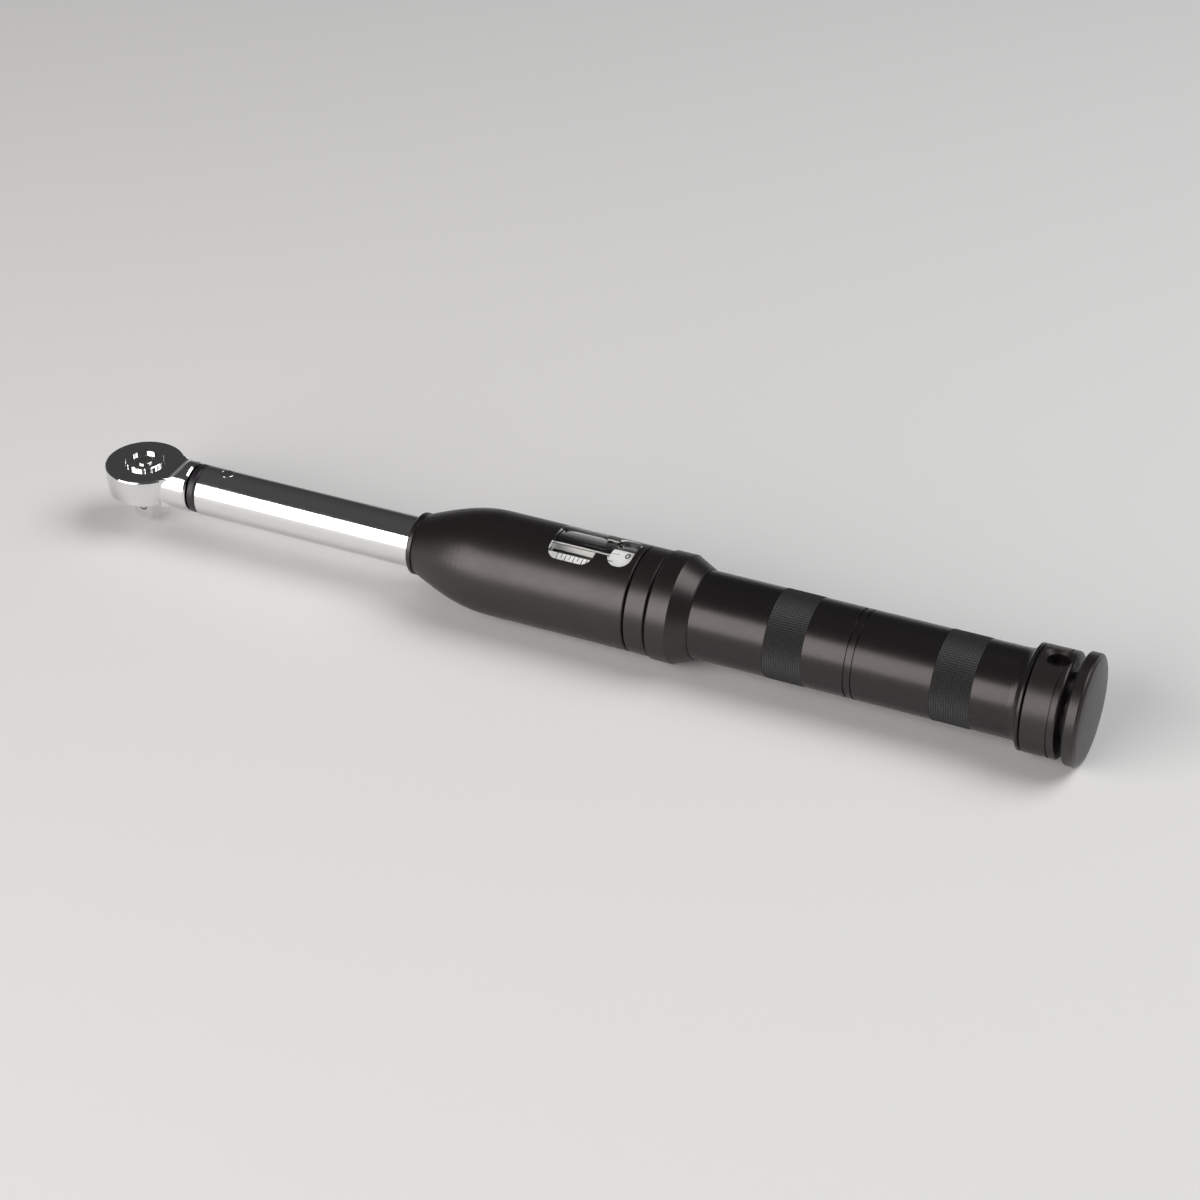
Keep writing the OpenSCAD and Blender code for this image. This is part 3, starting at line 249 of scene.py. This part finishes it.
MOULD_GRAIN = make_mould_grain()
HANDLING = make_handling()
print("made the groups", MOULD_GRAIN.name, "and", HANDLING.name)

# %% [markdown]
# ### Paint in engraved marks
# The marks of both scales are cut a little into white rings and filled with black paint. Nothing
# has to be painted by hand: at the bottom of a mark the surface lies nearer to the wrench's axis
# than the ring's own face does. So the distance from the axis tells paint from white. The bore of
# the ring lies deeper still, and stays white.


# %% Group: marks below a round face
# Both count in mark depths below the face
PAINT_BEGINS = 0.6
PAINT_ENDS = 2.0


def make_mark_mask():
    """1 in the engraved marks of a round face, and 0 elsewhere."""
    inputs = {"Face Radius mm": 10.0, "Depth mm": 0.12}
    group, start, end = new_group("Mark Mask", inputs, "Mask")
    _, y, z = add_node(group, "ShaderNodeSeparateXYZ", {0: object_place(group)}).outputs
    radius = math_node(group, "DIVIDE", from_axis(group, y, z), MM)

    def below_face(depths):
        """The radius that lies this many mark depths below the face."""
        drop = math_node(group, "MULTIPLY", start.outputs["Depth mm"], depths)
        return math_node(group, "SUBTRACT", start.outputs["Face Radius mm"], drop)

    in_mark = math_node(group, "LESS_THAN", radius, below_face(PAINT_BEGINS))
    not_bore = math_node(group, "GREATER_THAN", radius, below_face(PAINT_ENDS))
    group.links.new(math_node(group, "MULTIPLY", in_mark, not_bore), end.inputs["Mask"])
    return group


MARK_MASK = make_mark_mask()
print("made the group", MARK_MASK.name)

# %% [markdown]
# ## Finishes
# Every finish is a Principled shader whose roughness and surface change a little from place to
# place. A helper sets up what all of them share: a base roughness that the smudges shift, and a
# height, in micrometres, that a Bump node turns into tiny slopes. A finish with one even roughness
# would be quicker to make, and would look like a drawing of the tool instead of the tool.


# %% The common part of every finish
def place_group(tree, group, **values):
    """Put a shared effect into a material, with this material's own values."""
    placed = add_node(tree, "ShaderNodeGroup", node_tree=group)
    for key, value in values.items():
        placed.inputs[key.replace("_", " ")].default_value = value
    return placed.outputs[0]


def new_finish(name, colour, roughness, metallic=0.0, smudge=0.08, patch=18.0, **constants):
    """A material with a Principled shader and smudged roughness; gives material, tree, shader."""
    made = bpy.data.materials.new(name)
    made.use_nodes = True
    made.diffuse_color = (*colour, 1.0)
    tree = made.node_tree
    shader = tree.nodes["Principled BSDF"]
    shader.inputs["Base Color"].default_value = (*colour, 1.0)
    shader.inputs["Metallic"].default_value = metallic
    for key, value in constants.items():
        shader.inputs[key.replace("_", " ")].default_value = value
    handling = place_group(tree, HANDLING, Amount=smudge, Patch_mm=patch)
    smudged = math_node(tree, "ADD", handling, roughness, clamp=True)
    tree.links.new(smudged, shader.inputs["Roughness"])
    return made, tree, shader


def relief(tree, shader, height, microns):
    """Let a height from 0 to 1 shape the surface; its full depth is given in micrometres."""
    bump = add_node(tree, "ShaderNodeBump", {"Height": height, "Distance": microns * MICRON})
    tree.links.new(bump.outputs["Normal"], shader.inputs["Normal"])


def grained(tree, shader, grains, microns):
    """The grain of a mould as relief; a coarse, shallow one is the waviness of polishing."""
    relief(tree, shader, place_group(tree, MOULD_GRAIN, Grains_per_mm=grains), microns)


# %% [markdown]
# ### Bright and dark metal
# The head, its dial and drive, and the tube are plated with polished chrome: almost a mirror, with
# a faint waviness from polishing and light smudges. The button and the pins are ground steel, a
# little duller, with the rings of the grinding wheel. The screws and the works inside are
# blackened and oiled. All of them are full metals, so the base colour is what they reflect.


# %% Chrome, ground steel, blackened steel, spring wire and brass
def chrome():
    """Polished plate."""
    made, tree, shader = new_finish(
        "polished chrome plate", (0.78, 0.775, 0.77), 0.085, metallic=1.0, smudge=0.05)
    grained(tree, shader, grains=0.35, microns=1.6)
    return made


def turned_metal(name, colour, roughness, rings, microns, upright=0.0):
    """Metal with the fine rings of a lathe or a grinding wheel."""
    made, tree, shader = new_finish(
        name, colour, roughness, metallic=1.0, smudge=0.1, patch=9.0)
    marks = place_group(tree, TURNING_MARKS, Rings_per_mm=rings, Upright=upright)
    relief(tree, shader, marks, microns)
    return made


BLACKENED = (0.11, 0.11, 0.115)
FINISH = {
    "chrome": chrome(),
    "upright_steel": turned_metal(
        "ground steel, upright", (0.62, 0.61, 0.6), 0.2, rings=9.0, microns=2.5, upright=1.0),
    "bright_steel": turned_metal(
        "ground bright steel", (0.6, 0.6, 0.6), 0.22, rings=7.0, microns=3.0),
    "dark_steel": turned_metal("blackened steel", BLACKENED, 0.34, rings=5.0, microns=4.0),
    "dark_upright": turned_metal(
        "blackened steel, upright", BLACKENED, 0.34, rings=5.0, microns=4.0, upright=1.0),
    "spring_steel": turned_metal(
        "oiled spring wire", (0.3, 0.3, 0.32), 0.3, rings=2.0, microns=5.0),
    "brass": turned_metal("turned brass", (0.71, 0.5, 0.2), 0.26, rings=6.0, microns=4.0),
}
print("metal finishes:", len(FINISH))

# %% [markdown]
# ### Black and white parts
# The sleeve, the collar, the cap and the knob are satin black mouldings with a fine grain, which
# spreads the light into one broad, warm sheen. The grip between them is smoother and a little
# glossier. Rubber is the dullest. The scales are white with black marks. The window over them is a
# clear lens, and clear plastic would throw a full shadow on what lies under it, so it is made
# nearly invisible to the rays that only look for a lamp.


# %% Plastics, rubbers and scales
WARM_SHEEN = (1.0, 0.935, 0.925, 1.0)
SCALE_FACE = (0.84, 0.83, 0.8)
SCALE_PAINT = (0.015, 0.015, 0.016)
SHADOW_LET_THROUGH = 0.9
main_scale_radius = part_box("main_scale")[1].y
turning_scale_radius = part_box("turning_scale")[1].z


def moulding(name, colour, roughness, grains, microns, **constants):
    """Moulded plastic or rubber with the grain of its mould."""
    made, tree, shader = new_finish(name, colour, roughness, **constants)
    grained(tree, shader, grains, microns)
    return made


def scale_white(name, face_radius):
    """White face with black paint in the engraved marks."""
    made, tree, shader = new_finish(name, SCALE_FACE, 0.45)
    mask = place_group(tree, MARK_MASK, Face_Radius_mm=face_radius / MM)
    painted = add_node(
        tree, "ShaderNodeMix", {0: mask, 6: (*SCALE_FACE, 1.0), 7: (*SCALE_PAINT, 1.0)},
        data_type="RGBA")
    tree.links.new(painted.outputs[2], shader.inputs["Base Color"])
    grained(tree, shader, grains=8.0, microns=1.5)
    return made


def clear_lens():
    """Clear plastic that lets the lamps' light through to the scales."""
    made, tree, shader = new_finish("clear moulded lens", (0.97, 0.98, 0.98), 0.03, smudge=0.03)
    shader.inputs["Transmission Weight"].default_value = 1.0
    shader.inputs["IOR"].default_value = 1.49
    shadow = add_node(tree, "ShaderNodeLightPath").outputs["Is Shadow Ray"]
    let_through = math_node(tree, "MULTIPLY", shadow, SHADOW_LET_THROUGH)
    tree.links.new(math_node(tree, "SUBTRACT", 1.0, let_through), shader.inputs["Alpha"])
    grained(tree, shader, grains=0.2, microns=2.0)
    return made


FINISH.update({
    "black_satin": moulding(
        "satin black moulding", (0.009, 0.0078, 0.0076), 0.35, grains=6.0, microns=3.0,
        smudge=0.05, Specular_Tint=WARM_SHEEN, Specular_IOR_Level=0.6),
    "black_grip": moulding(
        "smooth black grip", (0.008, 0.0072, 0.0072), 0.28, grains=4.0, microns=0.5,
        smudge=0.03, Specular_Tint=WARM_SHEEN),
    "band_rubber": moulding(
        "knurled band", (0.011, 0.0105, 0.0105), 0.55, grains=7.0, microns=4.0),
    "seal_rubber": moulding(
        "smooth rubber", (0.014, 0.011, 0.015), 0.42, grains=4.0, microns=3.0),
    "white_plastic": moulding(
        "slippery white plastic", (0.8, 0.8, 0.78), 0.35, grains=3.0, microns=2.0),
    "main_scale": scale_white("main scale", main_scale_radius),
    "turning_scale": scale_white("turning scale", turning_scale_radius),
    "ink": moulding("black scale ink", (0.013, 0.013, 0.014), 0.5, grains=9.0, microns=1.0),
    "clear_lens": clear_lens(),
})
print("all finishes:", len(FINISH))

# %% [markdown]
# ## Dressing the frame's own pieces
# Each piece of the frame gets its finish by name. A list per finish reads like the parts list of a
# workshop: it says what is chromed, what is blackened and what is moulded. A piece that no list
# names would keep the frame's plain colour, so the last line looks for such pieces.

# %% Which piece gets which finish
WORN_BY = {
    "chrome": ["ratchet_head", "outer_tube", "head_cover", "reverse_dial", "drive_gear"],
    "upright_steel": ["release_button", "pivot_pin", "locking_ball", "selector_ball"],
    "bright_steel": ["bearing_balls", "front_thrust_washer", "rear_thrust_washer", "lock_stem",
                     "setting_screw"],
    "dark_upright": ["pawl", "pawl_pin", "cover_screws"],
    "dark_steel": ["tilt_block", "plunger", "spring_seat", "nut_washer", "scale_keys",
                   "bearing_plug", "plug_screws", "sleeve_screws", "tube_circlips", "lock_ring",
                   "knob_screw"],
    "spring_steel": ["main_spring", "button_spring", "selector_spring"],
    "brass": ["setting_nut", "grip_bushes"],
    "black_satin": ["body_sleeve", "rear_bezel", "grip_collar", "end_cap", "lock_knob"],
    "black_grip": ["grip_tube"],
    "band_rubber": ["grip_bands"],
    "seal_rubber": ["head_seal", "knob_o_ring"],
    "white_plastic": ["plunger_ring"],
    "main_scale": ["main_scale"],
    "turning_scale": ["turning_scale"],
    "clear_lens": ["window_lens"],
}
for finish, names in WORN_BY.items():
    for name in names:
        nodes[name].data.materials.clear()
        nodes[name].data.materials.append(FINISH[finish])
undressed = sorted(set(nodes) - {name for names in WORN_BY.values() for name in names})
print("pieces still without a finish:", undressed or "none")

# %% [markdown]
# ## The knurled bands of the grip
# Two matt bands break up the smooth grip, so that an oily hand can turn it. Up close each one is a
# field of small pyramids, as a knurling wheel rolls them. One could use a bump map, but at the
# band's edge the outline would stay smooth. Poking does it in real geometry: a tube of squares is
# made, and Poke Faces puts a raised point in the middle of each square. Then both rims are drawn
# in to the seat and joined by a smooth bore.

# %% Model a band from a tube of squares
KNURLS_ROUND = 110
KNURLS_LONG = 16
KNURL_RISE = 0.24 * MM
# Two places that are nearer to each other than this count as the same
SAME = 0.01 * MM


def pick_edges(obj, wanted):
    """In edit mode, select only the edges whose two ends pass a test."""
    bpy.ops.mesh.select_all(action="DESELECT")
    bpy.ops.object.mode_set(mode="OBJECT")
    points = obj.data.vertices
    for edge in obj.data.edges:
        a, b = (points[i].co for i in edge.vertices)
        edge.select = wanted(a, b)
    bpy.ops.object.mode_set(mode="EDIT")


def knurled_band(x0, x1, valley, seat):
    """One band: pyramids outside, flat sides, and a smooth bore that lies in its seat."""
    take_nothing()
    bpy.ops.mesh.primitive_cylinder_add(
        vertices=KNURLS_ROUND, radius=valley, depth=x1 - x0, end_fill_type="NOTHING",
        location=((x0 + x1) / 2, 0, 0), rotation=(0, math.pi / 2, 0))
    band = bpy.context.object
    bpy.ops.object.transform_apply(location=True, rotation=True, scale=True)
    bpy.ops.object.mode_set(mode="EDIT")
    bpy.ops.mesh.select_mode(type="EDGE")
    pick_edges(band, lambda a, b: abs(a.x - b.x) > (x1 - x0) / 2)
    bpy.ops.mesh.subdivide(number_cuts=KNURLS_LONG - 1)
    bpy.ops.mesh.select_mode(type="FACE")
    bpy.ops.mesh.select_all(action="SELECT")
    bpy.ops.mesh.normals_make_consistent(inside=False)
    bpy.ops.mesh.poke(offset=KNURL_RISE)
    for x in (x0, x1):
        bpy.ops.mesh.select_mode(type="EDGE")
        pick_edges(band, lambda a, b, x=x: abs(a.x - x) < SAME and abs(b.x - x) < SAME)
        bpy.ops.mesh.extrude_region_move()
        bpy.ops.transform.resize(
            value=(1, seat / valley, seat / valley), center_override=(x, 0, 0))
    pick_edges(band, lambda a, b: all(abs(end.yz.length - seat) < SAME for end in (a, b)))
    bpy.ops.mesh.bridge_edge_loops()
    bpy.ops.mesh.select_all(action="SELECT")
    bpy.ops.mesh.normals_make_consistent(inside=False)
    bpy.ops.object.mode_set(mode="OBJECT")
    return band


# %% [markdown]
# ### Both bands in their places
# The frame keeps both bands as one plain piece. Where its mesh has no points over a good stretch of
# the grip, one band ends and the other begins, so their places are read off the mesh. The pyramids
# start a little under the frame's plain face and rise through it.


# %% Make both bands where the frame has them
def stretches_along_x(node, least_gap):
    """The stretches of X that a node's own mesh covers, split where it leaves a gap."""
    places = sorted(v.co.x for v in nodes[node].data.vertices)
    cuts = [i for i in range(1, len(places)) if places[i] - places[i - 1] > least_gap]
    return [(places[a], places[b - 1]) for a, b in zip([0] + cuts, cuts + [len(places)])]


BAND_GAP = 20 * MM
VALLEY_DEPTH = 0.1 * MM
SEAT_DEPTH = 0.55 * MM
band_places = stretches_along_x("grip_bands", BAND_GAP)
band_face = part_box("grip_bands")[1].z
bands = [knurled_band(x0, x1, band_face - VALLEY_DEPTH, band_face - SEAT_DEPTH)
         for x0, x1 in band_places]
take(*bands)
bpy.ops.object.join()
finish_piece(bands[0], "knurled_grip_bands", FINISH["band_rubber"], "handle",
             ["grip_bands"])
print("bands at", [tuple(round(x / MM, 1) for x in place) for place in band_places])

# %% [markdown]
# ## Wound springs
# The frame's springs have the right coils, but only six sides to their wire. A spring is a circle
# swept along a helix, and the Screw modifier does just that: it turns a small circle round an axis
# while it climbs. The length and the width are read off the frame's own spring, and the wire and
# the number of turns are the same as there, so that the new one lies in the same place. Both ends
# are closed with a face.

# %% A spring with round wire
WIRE_SIDES = 12
STEPS_PER_TURN = 24
SMOOTH_BELOW = math.radians(50)


def stroke(name):
    """How far a sliding joint travels, in metres."""
    joint = next(j for j in frame["joints"] if j["name"] == name)
    return max(abs(value) for value in joint["range_m"])


def wound_spring(node, wire, turns, along, room=0.0):
    """Round wire in the box of the frame's spring, along "X" or "Z", with room at its low end."""
    low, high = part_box(node)
    axis = "XYZ".index(along)
    length = high[axis] - low[axis] - wire - room
    radius = (high.y - low.y) / 2 - wire / 2
    start = (low + high) / 2
    start[axis] = low[axis] + wire / 2 + room
    take_nothing()
    # The profile circle stands upright, at the coil's radius, on the plane through the axis
    bpy.ops.mesh.primitive_circle_add(
        vertices=WIRE_SIDES, radius=wire / 2, rotation=(math.pi / 2, 0, 0))
    coil = bpy.context.object
    bpy.ops.object.transform_apply(location=True, rotation=True, scale=True)
    bpy.ops.object.mode_set(mode="EDIT")
    bpy.ops.mesh.select_all(action="SELECT")
    bpy.ops.transform.translate(value=(radius, 0, 0))
    bpy.ops.object.mode_set(mode="OBJECT")
    sweep = coil.modifiers.new("sweep", "SCREW")
    sweep.axis = "Z"
    sweep.angle = math.tau * turns
    sweep.screw_offset = length
    sweep.steps = STEPS_PER_TURN * turns
    sweep.render_steps = STEPS_PER_TURN * turns
    sweep.use_merge_vertices = False
    bpy.ops.object.modifier_apply(modifier="sweep")
    bpy.ops.object.mode_set(mode="EDIT")
    bpy.ops.mesh.select_mode(type="EDGE")
    bpy.ops.mesh.select_all(action="DESELECT")
    bpy.ops.mesh.select_non_manifold()
    bpy.ops.mesh.edge_face_add()
    bpy.ops.mesh.select_all(action="SELECT")
    bpy.ops.mesh.normals_make_consistent(inside=False)
    bpy.ops.object.mode_set(mode="OBJECT")
    bpy.ops.object.shade_smooth_by_angle(angle=SMOOTH_BELOW)
    turn = Matrix.Rotation(math.pi / 2, 4, "Y") if along == "X" else Matrix.Identity(4)
    coil.matrix_world = Matrix.Translation(start) @ turn
    return coil


# %% [markdown]
# ### The torque spring and the button's spring
# The big spring in the tube sets the torque, and the small one under the button brings it back up.
# The seat in front of the big spring moves towards it at each click, so the coil starts that much
# behind the seat, and a hair more.

# %% Wind both springs
MAIN_WIRE = 2.2 * MM
MAIN_TURNS = 16
BUTTON_WIRE = 0.4 * MM
BUTTON_TURNS = 4
HAIR = 0.05 * MM
seat_room = stroke("plunger_slide") + HAIR
main_coil = finish_piece(
    wound_spring("main_spring", MAIN_WIRE, MAIN_TURNS, "X", seat_room),
    "wound_main_spring", FINISH["spring_steel"], "tube", ["main_spring"])
button_coil = finish_piece(
    wound_spring("button_spring", BUTTON_WIRE, BUTTON_TURNS, "Z"),
    "wound_button_spring", FINISH["spring_steel"], "drive", ["button_spring"])

# %% [markdown]
# ### A mesh of its own for each spring
# When the handle is wound up, the nut presses the main spring together, and the button does the
# same to its own small spring. A coil that stayed stiff would run through its neighbours. Here each
# coil only gets a copy of its mesh of its own; it is not squashed as its joint moves.


# %% Give each spring a mesh of its own
def give(coil, node, axis):
    """Give a coil a mesh of its own; the low end of the frame's spring is found but not used."""
    low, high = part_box(node)
    number = axis.index(1)
    anchor = (low + high) / 2
    anchor[number] = low[number]
    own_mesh(coil)


give(main_coil, "main_spring", (1, 0, 0))
give(button_coil, "button_spring", (0, 0, 1))

# %% [markdown]
# ## Numbers on the scales
# The main scale counts in large steps and the turning ring in small ones, and both need numbers to
# be of use. They could be painted by a mask, as the marks are, but digits are hard to draw with
# sums. Blender's text object draws them with its own plain font. Each number is turned into a mesh,
# given a hair of thickness, and stood on the round face of its scale at the right angle.

# %% Set out a number on a round face
INK_THICKNESS = 0.1 * MM
# How much bolder than the plain font, as a part of the height
BOLDER = 0.02


def number_on(text, height, x, angle, radius):
    """A printed number at X, at an angle from the top of the scale, on its round face."""
    take_nothing()
    bpy.ops.object.text_add()
    label = bpy.context.object
    label.data.body = text
    label.data.size = height
    label.data.align_x = "CENTER"
    label.data.align_y = "CENTER"
    label.data.extrude = INK_THICKNESS / 2
    label.data.offset = height * BOLDER
    bpy.ops.object.convert(target="MESH")
    label = bpy.context.object
    out = Vector((0, -math.sin(angle), math.cos(angle)))
    place = Matrix.Translation(Vector((x, 0, 0)) + out * radius)
    label.matrix_world = place @ Matrix.Rotation(angle, 4, "X")
    return label


def join_numbers(labels, name, body):
    """All the numbers of one scale, as one piece."""
    take(*labels)
    bpy.ops.object.transform_apply(location=True, rotation=True, scale=True)
    bpy.ops.object.join()
    finish_piece(labels[0], name, FINISH["ink"], body)


# %% [markdown]
# ### Both rows of numbers
# The main scale slides under the window as the handle turns, so its numbers ride on the same body
# as the scale. One stands beside each long mark. The ring turns with the handle, and each fifth
# mark on it has its number straight behind it.

# %% Numbers of both scales
MAIN_NUMBERS = ["4", "8", "12", "16", "20"]
MAIN_FIRST_X = 134.7 * MM
MAIN_STEP_X = 2.5 * MM
MAIN_ANGLE = math.radians(33.2)
MAIN_NUMBER_HEIGHT = 1.5 * MM
main_labels = [
    number_on(text, MAIN_NUMBER_HEIGHT, MAIN_FIRST_X + i * MAIN_STEP_X, MAIN_ANGLE,
              main_scale_radius)
    for i, text in enumerate(MAIN_NUMBERS)
]
join_numbers(main_labels, "main_scale_numbers", "carriage")

RING_MARKS = 25
RING_STEP = 5
RING_NUMBER_HEIGHT = 3.0 * MM
RING_NUMBER_IN = 4.9 * MM
ring_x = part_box("turning_scale")[0].x + RING_NUMBER_IN
ring_labels = [
    number_on(str(mark), RING_NUMBER_HEIGHT, ring_x, -math.tau * mark / RING_MARKS,
              turning_scale_radius)
    for mark in range(0, RING_MARKS, RING_STEP)
]
join_numbers(ring_labels, "turning_scale_numbers", "handle")

# %% [markdown]
# ## Floor, light and camera
# The wrench lies on a pale, plain floor that is so wide that its edge stays out of every view. Its
# colour does the brightening: more light would wash out the wrench as well. A floor without any
# change in it looks like a blank page, so it has a faint grain.

# %% A pale floor
FLOOR_WIDTH = 12
FLOOR_MIDDLE_X = 0.14
floor_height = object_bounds()[0].z
take_nothing()
bpy.ops.mesh.primitive_plane_add(size=FLOOR_WIDTH, location=(FLOOR_MIDDLE_X, 0, floor_height))
floor = bpy.context.object
floor.name = "floor"
paper, paper_tree, paper_shader = new_finish(
    "pale floor", (0.86, 0.86, 0.86), 0.7, smudge=0.02, patch=300.0)
grained(paper_tree, paper_shader, grains=1.5, microns=20.0)
floor.data.materials.append(paper)
floor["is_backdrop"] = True
print("floor at", round(floor_height / MM, 1), "mm")

# %% [markdown]
# ### The room
# Polished metal shows the room around it. In the photograph the flat top of the head and the back
# of the tube are dark, so the room above is dim. A black room would leave them without shape, so
# its light fades from a pale horizon down to a low level, and rises a little towards the ceiling.

# %% A dim room with a pale horizon
HORIZON_LIGHT = 0.3
DIM_LIGHT = 0.05
DIM_HEIGHT = 0.3
CEILING_LIGHT = 0.08


def grey(level):
    """An even colour of this lightness."""
    return (level, level, level, 1)


world = bpy.data.worlds.new("studio")
bpy.context.scene.world = world
world.use_nodes = True
room = world.node_tree
sky = room.nodes["Background"]
direction = add_node(room, "ShaderNodeTexCoord").outputs["Generated"]
height = add_node(room, "ShaderNodeSeparateXYZ", {0: direction}).outputs[2]
fade = add_node(room, "ShaderNodeValToRGB", {0: height})
ramp = fade.color_ramp
ramp.elements[0].position = 0.0
ramp.elements[0].color = grey(HORIZON_LIGHT)
ramp.elements[1].position = 1.0
ramp.elements[1].color = grey(CEILING_LIGHT)
ramp.elements.new(DIM_HEIGHT).color = grey(DIM_LIGHT)
room.links.new(fade.outputs["Color"], sky.inputs["Color"])
sky.inputs["Strength"].default_value = 1.0
print("room light from", HORIZON_LIGHT, "at the horizon to", CEILING_LIGHT, "overhead")

# %% [markdown]
# ### Two soft lamps
# One large lamp stands in front, on the left, and reaches down to the floor. Polished metal shows
# it as a broad white band, and satin black shows it as a warm sheen. A second one stands high on
# the right and a little behind, and lights the taper of the collar and all faces that look up.
# Small lamps would give thin, hard streaks on such round pieces. Both are set so that the white
# scales come out about as their colour is written, and don't glare.


# %% Soft lamps
def soft_lamp(name, place, aim, width, height, watts, tint=(1.0, 1.0, 1.0)):
    """A rectangular lamp that looks at a point."""
    take_nothing()
    bpy.ops.object.light_add(type="AREA", location=place)
    lamp = bpy.context.object
    lamp.name = name
    lamp.data.shape = "RECTANGLE"
    lamp.data.size = width
    lamp.data.size_y = height
    lamp.data.energy = watts
    lamp.data.color = tint
    lamp.rotation_euler = (Vector(aim) - Vector(place)).to_track_quat("-Z", "Y").to_euler()
    print(f"{name}: {width} by {height} m, {watts} W")


middle = Vector((FLOOR_MIDDLE_X, 0, 0))
soft_lamp("front_softbox", (-0.45, -1.18, 0.53), middle,
          width=1.35, height=1.15, watts=22.0, tint=(1.0, 0.97, 0.945))
soft_lamp("right_softbox", (0.9, 0.35, 1.15), middle, width=1.0, height=1.0, watts=12.0)

# %% [markdown]
# ### The camera
# The photograph was taken from 0.85 metre away, a little to the right of the wrench and from above.
# A camera at that same place keeps the perspective. Moving it closer would fill the frame too, but
# would make the near end of the handle too large. So a longer lens brings the wrench up to the size
# of the frame.

# %% Camera at the photograph's viewing angle
CAMERA_PLACE = Vector((0.433, -0.644, 0.479))
CAMERA_AIM = Vector((0.146, 0, -0.004))
SENSOR_MM = 36.0
LENS_MM = 92.0
NEAREST_SEEN = 0.01
bpy.ops.object.camera_add(location=CAMERA_PLACE)
camera = bpy.context.object
camera.rotation_euler = (CAMERA_AIM - CAMERA_PLACE).to_track_quat("-Z", "Y").to_euler()
camera.data.sensor_width = SENSOR_MM
camera.data.lens = LENS_MM
camera.data.clip_start = NEAREST_SEEN
bpy.context.scene.camera = camera
bpy.context.scene.view_settings.view_transform = "Standard"
print("camera to wrench:", round((CAMERA_PLACE - middle).length, 3), "m")

# %% [markdown]
# ## Last checks
# The dressed wrench must be as large as the frame says. Its box is compared with the frame's,
# and what the finished pieces add to each side is printed.

# %% Compare the boxes and finish
look_low, look_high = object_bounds()
growth = (look_high - look_low) - (cad_high - cad_low)
print("growth of the box in millimetres:", [round(side / MM, 3) for side in growth])
